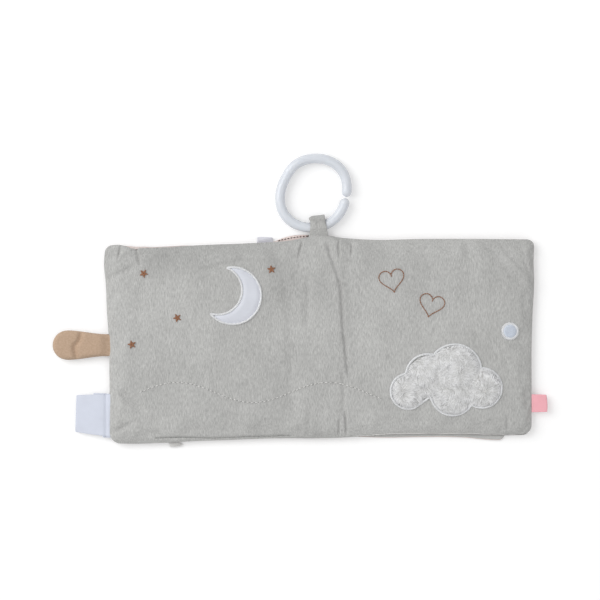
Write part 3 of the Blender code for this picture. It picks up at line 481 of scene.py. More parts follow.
white_plush = plush_finish("white_plush", (0.800, 0.798, 0.785), (0.640, 0.630, 0.600), 0.0030)
tan_plush = plush_finish("tan_plush", (0.545, 0.400, 0.292), (0.474, 0.337, 0.239), 0.0014)
# Painted light: the trim's white is set lighter than the cloud's, against the shade under the cover.
lightened_trim_white = plush_finish("lightened_trim_white", (0.970, 0.965, 0.955), (0.930, 0.920, 0.900), 0.0012)
white_plastic = new_finish("white_plastic", (0.700, 0.728, 0.775), 0.22, specular=0.5)
shine = white_plastic.node_tree.nodes["Principled BSDF"]
shine.inputs["Subsurface Weight"].default_value = 0.60
shine.inputs["Subsurface Radius"].default_value = (0.006, 0.006, 0.006)
shine.inputs["Subsurface Scale"].default_value = 1.0
shine.inputs["Coat Weight"].default_value = 0.2
shine.inputs["Coat Roughness"].default_value = 0.12
moulded = Pattern(white_plastic)
moulded.tint(moulded.clouds(0.020), 0.975, 1.02)
moulded.bump(moulded.clouds(0.006), 0.00006, 0.4)
print("plush and plastic ready")

# %% [markdown]
# The other finishes are seen little or not at all: hook and loop tape, the strap's backing, the
# crackling film and the fibre batting. Each is a plain finish with one noise for its colour and one
# for its relief, because nothing finer would show.

# %% Tapes, backing, film and fibre
def fibrous(name, colour, roughness, look, detail, grain, shades, relief, depth, strength):
    """A finish of tangled fibres or crumpled film."""
    finish = new_finish(name, colour, roughness, **look)
    fibres = Pattern(finish)
    fibres.tint(fibres.clouds(grain, detail=detail, rough=0.7), *shades)
    fibres.bump(fibres.clouds(relief, detail=detail, rough=0.7), depth, strength)
    return finish


# Painted shade for the dents between stitches.
needle_dent_shade = new_finish("needle_dent_shade", (0.290, 0.290, 0.282), 1.0, specular=0.05)
dent_shade_pattern = Pattern(needle_dent_shade)
dent_shade_pattern.tint(dent_shade_pattern.clouds(0.0008), 0.9, 1.08)
seam_thread = thread_finish("grey_seam_thread", (0.330, 0.330, 0.320), 0.7, 0.1)
# Painted light: the pages' grey velour is the cover's cloth, set lighter to make up for the shade that the
# cover casts on it.
lightened_page_velour = woven("lightened_grey_page_velour", (0.560, 0.560, 0.548), 0.95, 0.2, 0.09)
edge_highlight_cloth = woven("painted_edge_highlight", (0.880, 0.865, 0.845), 0.9, 0.1, 0.04)
tan_backing = woven("tan_backing", (0.500, 0.360, 0.250), 0.9, 0.1, 0.05)
hook_tape = new_finish("hook_tape", (0.690, 0.740, 0.820), 0.5, specular=0.4)
hooks_pattern = Pattern(hook_tape)
hooks_pattern.tint(hooks_pattern.clouds(0.0009, detail=1.0), 0.92, 1.05)
hooks_pattern.bump(hooks_pattern.weave(0.0008), 0.00012, 0.6)
loop_tape = fibrous("loop_tape", (0.560, 0.590, 0.640), 0.9, dict(sheen=0.3), 3.0,
                    0.0007, (0.86, 1.08), 0.0006, 0.00030, 0.9)
crinkle_film = fibrous("crinkle_film", (0.780, 0.800, 0.820), 0.2, dict(specular=0.5), 4.0,
                       0.010, (0.93, 1.04), 0.012, 0.00040, 0.8)
batting_fibre = fibrous("batting_fibre", (0.830, 0.830, 0.810), 1.0, dict(sheen=0.4), 5.0,
                        0.004, (0.90, 1.05), 0.003, 0.00060, 0.8)
print("tapes, film and fibre ready")

# %% [markdown]
# The cloud's locks of pile are painted darker at their roots, as painted shade deep in the pile, so they
# are brighter at their tips. Each lock carries an attribute that runs from 0 at its root to 1 at its tip,
# and the material reads it.

# %% Long white pile
pile_white = new_finish("long_white_pile", (0.840, 0.842, 0.848), 0.85, sheen=0.3, specular=0.15)
pile = Pattern(pile_white)
tip_share = pile.node("ShaderNodeAttribute", attribute_name="tip")
pile.blend_to(tip_share.outputs["Fac"], (0.620, 0.620, 0.612), 0.50, 0.0)
pile.tint(pile.clouds(0.0060, detail=1.0), 0.90, 1.05)
print("pile ready")

# %% [markdown]
# The cover is one long piece of velour sewn to a pink lining all round, turned right side out like a
# pillowcase. Its outline is not a clean rectangle: soft cloth pulls in between its corners, leans,
# and rises where the ring tugs at the spine. Each edge is a smooth curve through a few knots.

# %% The open book's outline
MM = 0.001


def in_mm(knots):
    return [(x * MM, y * MM) for x, y in knots]


TOP_EDGE = in_mm((
    (-172, 72.7), (-160, 73.9), (-151, 73.2), (-144, 72.9), (-104, 73.9), (-64, 74.4), (-38, 75.7),
    (-31, 76.2), (-22, 77.3), (-10, 79.9), (2, 81.4), (16, 79.4), (40, 77.7), (80, 78.3), (130, 78.3),
    (171, 77.9)))
BOTTOM_EDGE = in_mm((
    (-172, -84.6), (-150, -85.0), (-120, -84.2), (-100, -83.0), (-75, -82.2), (-38, -80.8),
    (0, -80.7), (17, -80.2), (32, -79.3), (50, -77.8), (76, -77.0), (103, -77.1), (130, -77.6),
    (152, -77.9), (171, -77.2)))
# The fore edges are curves of x over y, so their knots are turned round.
BACK_EDGE = [(y, x) for x, y in in_mm((
    (-171.9, 74), (-172.8, 62), (-171.4, 46), (-170.4, 22), (-169.0, 2), (-168.4, -30), (-168.3, -86)))]
FRONT_EDGE = [(y, x) for x, y in in_mm((
    (170.9, 78), (170.0, 60), (170.4, 40), (169.2, 16), (168.4, -10), (168.4, -45), (168.3, -78)))]
CORNERS = {(-1, 1): 0.0045, (-1, -1): 0.0085, (1, 1): 0.0062, (1, -1): 0.0070}
COVER_COLUMNS = 78
SPINE_COLUMNS = 14
ROWS = 84
EDGE_CROWDING_SHARE = 0.72
COVER_CROWDING_SHARE = 0.62
GUESS_LOW, GUESS_RISE = -0.082, 0.158
# How far the lining rolls out above the velour along the upper edge.
TURNED_EDGE = in_mm((
    (-172, 0.2), (-160, 0.3), (-154, 1.4), (-150, 2.6), (-145, 2.0), (-130, 1.5), (-110, 1.2), (-92, 0.5),
    (-80, 0.1), (0, 0.0), (171, 0.0)))
EDGE_ROLL_OUT = 0.0010
LINING_INSET = 0.0006
columns = 2 * (COVER_COLUMNS + SPINE_COLUMNS)


def crowded(share, amount=EDGE_CROWDING_SHARE):
    """Shares from 0 to 1 that draw together towards both ends."""
    return share - amount * np.sin(2 * math.pi * share) / (2 * math.pi)


def crowded_at_end(share):
    """Shares from 0 to 1 that draw together towards 1."""
    return share + 0.8 * np.sin(math.pi * share) / math.pi


def round_corner(x, y, to_fore, to_end, side, end, radius):
    """Draws the points near one corner in to an arc."""
    here = (np.sign(x) == side) & (to_fore < radius) & (to_end < radius)
    p = np.where(here, 1 - to_fore / radius, 0)
    q = np.where(here, 1 - to_end / radius, 0)
    return (np.where(here, x - side * radius * p * (1 - np.sqrt(1 - q * q / 2)), x),
            np.where(here, y - end * radius * q * (1 - np.sqrt(1 - p * p / 2)), y))


def outline_place(column, row):
    """The flat place of grid points: x, y and the distances from the fore, lower and upper edges."""
    t = crowded(row / ROWS)
    spine_start, spine_end = COVER_COLUMNS, COVER_COLUMNS + 2 * SPINE_COLUMNS
    height_guess = GUESS_LOW + GUESS_RISE * t
    reach_back = -curve_through(BACK_EDGE, height_guess)
    reach_front = curve_through(FRONT_EDGE, height_guess)
    back = crowded(np.clip(1 - column / spine_start, 0, 1), COVER_CROWDING_SHARE)
    front = crowded(np.clip((column - spine_end) / COVER_COLUMNS, 0, 1), COVER_CROWDING_SHARE)
    spine = (column - (spine_start + spine_end) / 2) / SPINE_COLUMNS
    x = HALF_SPINE * np.clip(spine, -1, 1)
    x = x - back * (reach_back - HALF_SPINE) + front * (reach_front - HALF_SPINE)
    low, high = curve_through(BOTTOM_EDGE, x), curve_through(TOP_EDGE, x)
    y = low + t * (high - low)
    to_fore = np.where(x < 0, reach_back + x, reach_front - x)
    to_low, to_high = y - low, high - y
    for (side, end), radius in CORNERS.items():
        x, y = round_corner(x, y, to_fore, to_high if end > 0 else to_low, side, end, radius)
    return x, y, to_fore, to_low, to_high


print("outline of", len(TOP_EDGE) + len(BOTTOM_EDGE) + len(BACK_EDGE) + len(FRONT_EDGE), "knots")

# %% [markdown]
# The upper side of the pillow starts as a grid primitive. Its points are laid on the outline and
# lifted to a low crown with rolled edges, as the batting lifts the cloth of a real cover. The grid
# is finer towards the seams, where the cloth turns down most.

# %% The crowned velour
CROWN = 0.0030
CROWN_DOME = 0.0007
DOME_REACH = 0.152
TURNED_REACH = 0.022
ROLL = 0.0070


def add_grid(name, across, up):
    deselect()
    bpy.ops.mesh.primitive_grid_add(x_subdivisions=across, y_subdivisions=up, size=1.0)
    return named(name)


def grid_indexes(obj, across, up):
    unit = points_of(obj) + 0.5
    return np.round(unit[:, 0] * across), np.round(unit[:, 1] * up)


def crown_height(to_fore, to_low, to_high, roll):
    return rolled(to_fore, roll) * rolled(to_low, roll) * rolled(to_high, roll)


upper = add_grid("velour_sheet", columns, ROWS)
column, row = grid_indexes(upper, columns, ROWS)
x, y, to_fore, to_low, to_high = outline_place(column, row)
dome = np.sin(math.pi * np.clip((np.abs(x) - HALF_SPINE) / DOME_REACH, 0, 1))
dome = dome * np.sin(math.pi * row / ROWS)
turned = curve_through(TURNED_EDGE, x)
y = y - turned * np.clip(1 - to_high / TURNED_REACH, 0, 1)
z = CROWN * crown_height(to_fore, to_low, to_high + turned, ROLL) + CROWN_DOME * dome
move_points(upper, np.stack([BOOK.x + x, BOOK.y + y, SEAM_Z + z], axis=1))
sewn = (column == 0) | (column == columns) | (row == 0) | (row == ROWS)
print("upper sheet", len(upper.data.vertices), "points, sewn", int(sewn.sum()))

# %% [markdown]
# The crown alone looks like a tray, so the cloth is then simulated. Blender's Cloth modifier pins the
# sewn outline, and a little air pressure swells the rest, which gives the puckers along the seams
# that real sewn cloth has. It runs for a few frames and is then applied. Rises are capped, because
# batting and quilting hold a real cover flat.

# %% The cloth simulation
SIM_FRAMES = 20


def swell(obj, pinned, pressure, slack_share, cap):
    """Swells a sheet or a closed form as cloth, and keeps each point within a cap of where it was."""
    before = points_of(obj)
    held = obj.vertex_groups.new(name="sewn")
    held.add([int(i) for i in np.flatnonzero(pinned)], 1.0, "REPLACE")
    cloth = obj.modifiers.new("cloth", "CLOTH")
    settings = cloth.settings
    settings.quality = 6
    settings.mass = 0.15
    settings.vertex_group_mass = "sewn"
    settings.use_pressure = True
    settings.uniform_pressure_force = pressure
    settings.shrink_min = -slack_share
    settings.effector_weights.gravity = 0.0
    cloth.collision_settings.use_collision = False
    cloth.point_cache.frame_end = SIM_FRAMES
    scene = bpy.context.scene
    for step in range(1, SIM_FRAMES + 1):
        scene.frame_set(step)
    apply_modifiers(obj)
    scene.frame_set(1)
    moved = points_of(obj) - before
    size = np.maximum(np.linalg.norm(moved, axis=1), 1e-9)
    capped = cap * np.tanh(size / cap) / size
    move_points(obj, before + moved * capped[:, None])
    print(obj.name, "swelled by at most %.2f mm" % (1000 * size.max()))


swell(upper, sewn, pressure=4.0, slack_share=0.012, cap=0.0011)
subdivided(upper, 1)
print("fine sheet", len(upper.data.vertices), "points")

# %% [markdown]
# Folds come next, on the fine sheet. Each is a line that the cloth dips along, with a low shoulder on
# both sides, and it fades out at its ends. The deepest is the crease where the front cover turns
# against the spine. The others are where the cloth was gathered at a seam or pushed by the ring.

# %% Folds and creases
FOLDS = (
    # (places along the fold in mm), depth in mm, half width in mm
    (((6.0, 73), (8.4, 64), (14.0, 49), (16.6, 38), (18.2, 6), (20.4, -12), (22.2, -31)), 1.6, 1.9),
    (((17.8, -27), (18.4, -45), (18.2, -61)), 0.9, 2.3),
    (((-14.0, 79), (-15.4, 72), (-17.6, 64)), 1.5, 1.3),
    (((15.2, 79), (14.2, 71), (15.2, 64)), 1.4, 1.2),
    (((24.9, 78), (24.7, 64)), 1.0, 1.2),
    (((-2.8, 80), (-1.6, 74)), 0.5, 1.1),
    (((14.9, -66), (14.6, -80)), 1.5, 1.2),
    (((19.8, -60), (20.6, -80)), 1.7, 1.3),
    (((-8.4, -56), (-10.4, -79)), 0.7, 3.0),
    (((-169, 47), (-158, 51), (-147, 57)), 1.2, 3.2),
    (((-158.8, 74), (-160.2, 68), (-161.6, 62)), 1.6, 1.3),
    (((-147.0, 74), (-146.0, 66), (-143.6, 57)), 1.9, 1.4),
    (((-153.0, 72), (-150.6, 63)), -0.7, 2.6),
    (((-116, 63), (-112, 50)), 0.6, 2.2),
    (((-103, 63), (-99, 52)), 0.6, 2.2),
    (((-94, 53), (-78, 57), (-62, 61)), 0.9, 3.0),
    (((-160, -43), (-152, -50), (-142, -58)), 1.6, 3.4),
    (((-160, -52), (-152, -60)), -0.8, 3.6),
    (((-166, -77), (-157, -72), (-149, -68)), 1.0, 2.6),
    (((127, 79), (144, 60), (163, 38)), 0.9, 3.4),
    (((136, 78), (152, 58), (168, 40)), -0.6, 3.2),
    (((141, 78), (156, 60), (168, 50)), 0.6, 3.0),
    (((115, 78), (118, 62)), 0.7, 2.2),
    (((57, 37), (90, 33), (104, 35)), 0.8, 3.4),
    (((151, -7.5), (169, -10.0)), 1.4, 1.8),
    (((148.4, -64), (149.0, -73)), 1.3, 1.4),
    (((144.0, -72), (143.0, -79)), 1.4, 1.2),
    (((-9.6, 46), (-10.0, 30), (-10.6, 8)), 0.9, 3.2),
    (((-36, 70), (-27, 40), (-24, 12), (-24, -20), (-22, -60)), 0.9, 6.0),
    (((-3, 60), (2, 20), (2, -40)), -0.5, 7.0),
    (((-130, -80.4), (-109, -79.9), (-86, -80.6), (-60, -79.5), (-48, -79.3), (-27, -78.4)), 1.1, 1.1),
)
FOLD_FADE = 0.005
# Patches of painted shade, where the cloth slopes away from the lamp, beside the spine and beside the main
# crease: middle and reach in mm, share of light lost.
PAINTED_SHADE_PATCHES = ((-90, 72, 80, 27, 0.13), (-30, 44, 15, 22, 0.07), (19, 24, 5.5, 46, 0.11),
           (-7, -42, 7, 48, 0.08))
SNAP = 0.0003


def fold_depth(xy, line, depth, half_width):
    """How far a fold lowers each point."""
    nearest = np.full(len(xy), 1.0)
    faded = np.zeros(len(xy))
    lengths = [math.dist(a, b) for a, b in zip(line, line[1:])]
    total = sum(lengths)
    done = 0.0
    for (a, b), length in zip(zip(line, line[1:]), lengths):
        a, b = np.array(a), np.array(b)
        share = np.clip((xy - a) @ (b - a) / length ** 2, 0, 1)
        off = np.linalg.norm(xy - a - share[:, None] * (b - a), axis=1)
        closer = off < nearest
        along = done + share * length
        fade = eased(np.minimum(along, total - along) / FOLD_FADE * 0.5 + 0.5)
        faded = np.where(closer, fade, faded)
        nearest = np.minimum(nearest, off)
        done += length
    q = nearest / half_width
    return depth * faded * (1 - 0.55 * q * q) * np.exp(-q * q)


fine = points_of(upper)
flat = fine[:, :2] - np.array([BOOK.x, BOOK.y])
free = np.clip((fine[:, 2] - SEAM_Z) / CROWN, 0, 1)
dip = np.zeros(len(fine))
for line, depth, half_width in FOLDS:
    dip += fold_depth(flat, in_mm(line), depth * MM, half_width * MM)
waves = 0.00055 * soft_noise(np.c_[flat, np.zeros(len(flat))] * (1, 0.6, 1), 0.019, 3.0)
waves += 0.00022 * soft_noise(np.c_[flat, np.zeros(len(flat))], 0.0075, 7.0)
fine[:, 2] += free * (waves - dip)
fine[:, 2] = np.maximum(fine[:, 2], SEAM_Z + 0.0002 * free)
# The columns of points on the cut lines are made exactly straight.
for line_x in (-HALF_SPINE, 0.0, HALF_SPINE):
    fine[:, 0] = np.where(np.abs(flat[:, 0] - line_x) < SNAP, BOOK.x + line_x, fine[:, 0])
move_points(upper, fine)
# Painted shade: each point carries the share of light that these patches take off the velour.
painted_shade = np.zeros(len(fine))
for px, py, wide, tall, share in PAINTED_SHADE_PATCHES:
    off = ((flat[:, 0] / MM - px) / wide) ** 2 + ((flat[:, 1] / MM - py) / tall) ** 2
    painted_shade += share * np.exp(-off)
upper.data.attributes.new("painted_shade", "FLOAT", "POINT").data.foreach_set("value", painted_shade)
print("deepest fold %.1f mm, top at %.1f mm" % (1000 * dip.max(), 1000 * fine[:, 2].max()))

# %% [markdown]
# The lining lies on the pages and stays nearly flat. It is a second grid on the same outline, so that both
# cloths meet point for point along the seam. Along the front cover's lower edge it rolls out a little, and
# its lowest faces there get a second, pale cream material: a painted highlight where the rolled edge
# catches the light.

# %% The lining sheet
LINING_DEPTH = SEAM_Z - LEAF_TOP - 0.0004
LINING_ROLL = 0.0060
HIGHLIGHT_STRIP = 0.0007
HIGHLIGHT_START = 0.024
lower = add_grid("lining_sheet", columns, ROWS)
column, row = grid_indexes(lower, columns, ROWS)
x, y, to_fore, to_low, to_high = outline_place(column, row)
turned = curve_through(TURNED_EDGE, x)
rolled_up = np.maximum(turned - to_high, 0)
z = -LINING_DEPTH * crown_height(to_fore, to_low, np.maximum(to_high - turned, 0), LINING_ROLL)
ripple = 0.5 + 0.5 * soft_noise(np.c_[x, y, 0 * x], 0.012, 5.0)
z = z * (1 - 0.18 * ripple) + CROWN * rolled(rolled_up, ROLL)
y = np.where(turned > to_high, y + to_high - rolled_up, y + np.minimum(turned, 0.5 * to_high))
y += LINING_INSET * (np.exp(-to_low / 0.002) - np.exp(-to_high / 0.002))
y -= EDGE_ROLL_OUT * np.exp(-to_low / 0.0016) * np.clip((x - 0.02) / 0.02, 0, 1)
x -= np.sign(x) * LINING_INSET * np.exp(-to_fore / 0.002)
move_points(lower, np.stack([BOOK.x + x, BOOK.y + y, SEAM_Z + z], axis=1))
subdivided(lower, 1)
below = points_of(lower)
for line_x in (-HALF_SPINE, 0.0, HALF_SPINE):
    near = np.abs(below[:, 0] - BOOK.x - line_x) < SNAP
    below[:, 0] = np.where(near, BOOK.x + line_x, below[:, 0])
move_points(lower, below)
lower.data.materials.append(lining_cloth)
lower.data.materials.append(edge_highlight_cloth)
# Painted highlight: the lowest faces along the rolled-out edge get a pale cream material.
highlight_low = curve_through(BOTTOM_EDGE, below[:, 0] - BOOK.x) + HIGHLIGHT_STRIP
for polygon in lower.data.polygons:
    x, y = polygon.center.x - BOOK.x, polygon.center.y - BOOK.y
    if x > HIGHLIGHT_START and y < highlight_low[polygon.vertices[0]]:
        polygon.material_index = 1
turn_over(lower)
print("lining sheet", len(lower.data.polygons), "faces")

# %% [markdown]
# A piece of cloth can bend between two bodies only, and the cover crosses five. So each sheet is cut
# at the two fold lines and at the middle of the spine. The cuts would show as faint lines, because
# each piece shades its edge by its own faces alone. The cure is to note every point's normal before
# the cut, and to give it back afterwards.

# %% Cutting the sheets at the fold lines
BEND = 0.008
CUTS = (
    # (name, from, to, bodies, where the bend starts, where it ends), places from the spine's middle
    ("back_cover", -1.0, -HALF_SPINE, ("back_leaf", "back_cover"), -HALF_SPINE, -HALF_SPINE - BEND),
    ("spine_left", -HALF_SPINE, 0.0, ("spine", "back_leaf"), -HALF_SPINE + BEND, -HALF_SPINE),
    ("spine_right", 0.0, HALF_SPINE, ("spine", "front_leaf"), HALF_SPINE - BEND, HALF_SPINE),
    ("front_cover", HALF_SPINE, 1.0, ("front_leaf", "front_cover"), HALF_SPINE, HALF_SPINE + BEND),
)
VELOUR_THICK = 0.0009
LINING_THICK = 0.0007


def note_normals(obj):
    mesh = obj.data
    kept = mesh.attributes.new("whole_normal", "FLOAT_VECTOR", "POINT")
    kept.data.foreach_set("vector", [c for v in mesh.vertices for c in v.normal])


def cut_piece(sheet, name, low, high):
    """A copy of the sheet with only the faces between two lines."""
    piece = sheet.copy()
    piece.data = sheet.data.copy()
    piece.name = piece.data.name = name
    bpy.context.collection.objects.link(piece)
    across = centres_of(piece)[:, 0] - BOOK.x
    delete_faces(piece, (across < low) | (across > high))
    return smoothed(piece)


def give_normals_back(piece, count):
    """The first count points are the outer face, and the rest are its inner copy."""
    mesh = piece.data
    noted = np.empty(3 * len(mesh.vertices))
    mesh.attributes["whole_normal"].data.foreach_get("vector", noted)
    noted = noted.reshape(-1, 3)
    noted[count:] *= -1
    mesh.attributes.remove(mesh.attributes["whole_normal"])
    mesh.normals_split_custom_set_from_vertices(noted.tolist())


def cut_cloth(sheet, name, low, high, thick):
    """A piece of the sheet with its thickness, shaded as if it were still whole."""
    piece = cut_piece(sheet, name, low, high)
    count = len(piece.data.vertices)
    thickened(piece, thick)
    give_normals_back(piece, count)
    return piece


def cut_and_sew(sheet, cloth_name, finish, thick, node):
    note_normals(sheet)
    for part, low, high, bodies, start, end in CUTS:
        piece = cut_cloth(sheet, "%s_%s" % (cloth_name, part), low, high, thick)
        wear(piece, finish)
        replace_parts(piece, node % part.split("_left")[0].split("_right")[0])
        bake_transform(piece)
    bpy.data.objects.remove(sheet)


top_points = points_of(upper)
cut_and_sew(upper, "velour", velour, VELOUR_THICK, "%s_outer")
cut_and_sew(lower, "lining", lining_cloth, LINING_THICK, "%s_lining")

# %% [markdown]
# Everything sewn on the velour has to follow its folds. This helper looks up the height of the velour
# under any place, as the height of the nearest points of the sheet.

# %% How high the velour lies
TREE_CELL = 0.0013
sheet_tree = {}
for index, (px, py, _) in enumerate(top_points):
    sheet_tree.setdefault((int(px // TREE_CELL), int(py // TREE_CELL)), []).append(index)


def velour_height(x, y):
    """The height of the velour at a place in the book's own frame."""
    px, py = BOOK.x + x, BOOK.y + y
    cx, cy = int(px // TREE_CELL), int(py // TREE_CELL)
    near = [i for a in (-1, 0, 1) for b in (-1, 0, 1) for i in sheet_tree.get((cx + a, cy + b), ())]
    if not near:
        return SEAM_Z
    local = top_points[near]
    gap = (local[:, 0] - px) ** 2 + (local[:, 1] - py) ** 2
    weight = 1 / (gap + 1e-9)
    return float((weight * local[:, 2]).sum() / weight.sum())


def heights_under(points):
    """The height of the velour under each of a piece's points."""
    return np.array([velour_height(p[0] - BOOK.x, p[1] - BOOK.y) for p in points])


print("velour at the spine's middle: %.1f mm" % (1000 * velour_height(0, 0)))

# %% [markdown]
# Many small things here repeat: thread stitches, tufts of pile, ribs of satin stitch. One of each is
# modelled, and then copied along a line or over a surface. Joining thousands of objects is slow, so
# the copies go straight into one mesh, each with its own points.

# %% Helpers for lines and copies
def along(path, step, closed=False):
    """Points and directions at even steps on a line of places."""
    places = [Vector(p) for p in path]
    if closed:
        places.append(places[0])
    lengths = [0.0]
    for a, b in zip(places, places[1:]):
        lengths.append(lengths[-1] + (b - a).length)
    count = max(round(lengths[-1] / step), 1)
    found, k = [], 0
    for i in range(count if closed else count + 1):
        distance = lengths[-1] * i / count
        while k < len(places) - 2 and lengths[k + 1] < distance:
            k += 1
        a, b = places[k], places[k + 1]
        share = (distance - lengths[k]) / max((b - a).length, 1e-9)
        found.append((a.lerp(b, share), (b - a).normalized()))
    return found


def copies_of(pattern, places, name):
    """One mesh with a copy of the pattern at each place, given as a 4 by 4 matrix."""
    points = points_of(pattern)
    faces = np.array([list(p.vertices) for p in pattern.data.polygons if len(p.vertices) == 4])
    corners = [list(p.vertices) for p in pattern.data.polygons if len(p.vertices) != 4]
    all_points, all_faces = [], []
    for number, place in enumerate(places):
        turned = points @ np.array(place.to_3x3()).T + np.array(place.translation)
        all_points.append(turned)
        shift = number * len(points)
        all_faces += (faces + shift).tolist() if len(faces) else []
        all_faces += [[c + shift for c in face] for face in corners]
    mesh = bpy.data.meshes.new(name)
    mesh.from_pydata(np.concatenate(all_points).tolist(), [], all_faces)
    made = bpy.data.objects.new(name, mesh)
    bpy.context.collection.objects.link(made)
    tips = pattern.data.attributes.get("tip")
    if tips:
        values = np.empty(len(points))
        tips.data.foreach_get("value", values)
        tip = mesh.attributes.new("tip", "FLOAT", "POINT")
        tip.data.foreach_set("value", np.tile(values, len(places)))
    return smoothed(made)


def facing(place, direction, up, size=(1, 1, 1)):
    """A matrix that turns a pattern's x along a direction and its z as near as can be to up."""
    ahead = Vector(direction).normalized()
    side = Vector(up).cross(ahead).normalized()
    over = ahead.cross(side)
    turned = Matrix((ahead, side, over)).transposed()
    return Matrix.Translation(place) @ turned.to_4x4() @ Matrix.Diagonal(Vector(size)).to_4x4()


# %% [markdown]
# One hand stitch is a short length of thread that dives into the cloth at both ends, so it is thick in the
# middle and slim at its ends. A small sphere, stretched and pinched, has that shape. Stitches that stand
# apart get a small, flat dark mark between them: painted shade in the dent where the thread pulls the cloth
# in.

# %% One stitch
deselect()
bpy.ops.mesh.primitive_uv_sphere_add(segments=8, ring_count=6, radius=1.0, rotation=(0, math.pi / 2, 0))
stitch = settle(named("stitch_pattern"))
points = points_of(stitch)
points[:, 1:] *= (1 - 0.25 * np.abs(points[:, :1]) ** 3)
points[:, 2] -= 0.5 * points[:, 0] ** 2
move_points(stitch, points)
SINK = 0.00010
SHADE_MARK_GAP = 0.0008


def on_velour(x, y, lift=0.0):
    return Vector((BOOK.x + x, BOOK.y + y, velour_height(x, y) + lift))


def sew(name, path, length, gap, thick, closed=False):
    """A line of stitches over the velour, on a path given in the book's own frame."""
    places, dent_shades = [], []
    for place, ahead in along([(x, y, 0) for x, y in path], length + gap, closed):
        x, y = place.x, place.y
        ends = [on_velour(x + ahead.x * s, y + ahead.y * s) for s in (-length / 2, length / 2)]
        middle = on_velour(x, y, thick / 2 - SINK)
        places.append(facing(middle, ends[1] - ends[0], (0, 0, 1), (length / 2, thick / 2, thick / 2)))
        half = (length + gap) / 2
        shade_spot = on_velour(x + ahead.x * half, y + ahead.y * half, 0.00002)
        dent_shades.append(facing(shade_spot, ends[1] - ends[0], (0, 0, 1), (gap * 0.42, thick * 0.36, 0.00008)))
    line = copies_of(stitch, places, name)
    # Painted shade: dark flat marks in the dents between the stitches.
    if gap > SHADE_MARK_GAP:
        line.data.materials.append(velour)
        dent_shade_marks = copies_of(stitch, dent_shades, name + "_holes")
        dent_shade_marks.data.materials.append(needle_dent_shade)
        line = join([line, dent_shade_marks], name)
    return line


print("stitch pattern", len(stitch.data.polygons), "faces")

# %% [markdown]
# A wavy line of running stitches crosses the whole cover in pale thread, and a closing seam runs near the
# lower edge of the back cover where the pillowcase was sewn shut. The line is sewn in four stretches, one
# for each piece of cloth.

# %% Running stitches
RUN_Y, RUN_WAVE, RUN_LENGTH = -0.0440, 0.0080, 0.120
RUN_START, RUN_END = -0.1440, 0.0480
RUN_NODES = {"back_cover": "back_running_stitches", "front_cover": "front_running_stitches"}


def run_line(low, high):
    low, high = max(low, RUN_START), min(high, RUN_END)
    xs = np.arange(low + 0.0008, high - 0.0008, 0.0015)
    return [(x, RUN_Y + RUN_WAVE * math.sin(2 * math.pi * (x - RUN_START) / RUN_LENGTH)) for x in xs]


for part, low, high, bodies, start, end in CUTS:
    line = run_line(low, high)
    stitches = sew("running_stitches_" + part, line, length=0.0022, gap=0.0012, thick=0.00088)
    wear(stitches, pale_thread)
    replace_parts(stitches, RUN_NODES.get(part, "spine_running_stitches"))
    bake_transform(stitches)

closing_line = in_mm((
    (-131, -80.4), (-109, -79.9), (-86, -80.6), (-60, -79.5), (-48, -79.3), (-26, -78.4)))
closing = sew("closing_stitches", closing_line, length=0.0028, gap=0.0011, thick=0.00055)
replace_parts(wear(closing, seam_thread, "back_cover"), "closing_seam_stitches")

# %% [markdown]
# The two hearts are drawn in backstitch: brown stitches end to end, each following the height of the
# velour under it. The outline is a plain heart curve, whose steps become the line to sew along.

# %% Thread hearts
HEART_SIZE = 0.0200
HEART_STEPS = 72
HEARTS = ((0.05673, 0.04629, 0.03), (0.08729, 0.02488, -0.04))


def heart_line(x, y, turn):
    outline = []
    for i in range(HEART_STEPS):
        t = 2 * math.pi * (i + 0.5) / HEART_STEPS
        across = 16 * math.sin(t) ** 3
        up = 13 * math.cos(t) - 5 * math.cos(2 * t) - 2 * math.cos(3 * t) - math.cos(4 * t)
        a = 2 * math.pi * turn
        across, up = across * math.cos(a) - up * math.sin(a), across * math.sin(a) + up * math.cos(a)
        outline.append((x + across * HEART_SIZE / 32, y + up * HEART_SIZE / 32))
    return outline


for number, place in enumerate(HEARTS, 1):
    node = "thread_heart_%d" % number
    low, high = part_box(node)
    middle = (low + high) / 2 - BOOK
    line = heart_line(middle.x, middle.y + 0.0004, place[2])
    heart = sew("heart_%d" % number, line, length=0.0021, gap=-0.0003, thick=0.00085, closed=True)
    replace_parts(wear(heart, brown_thread, "front_cover"), node)

# %% [markdown]
# Satin stitch lays thread side by side across a narrow band until it covers it. That is what gives the
# moon and the cloud their raised white rims. The band is a grid rolled into a low tube along the
# outline, with a crest for every thread.

# %% Satin-stitch bands
THREAD_PITCH = 0.00042
RIM_HALF_WIDTH = 0.00095


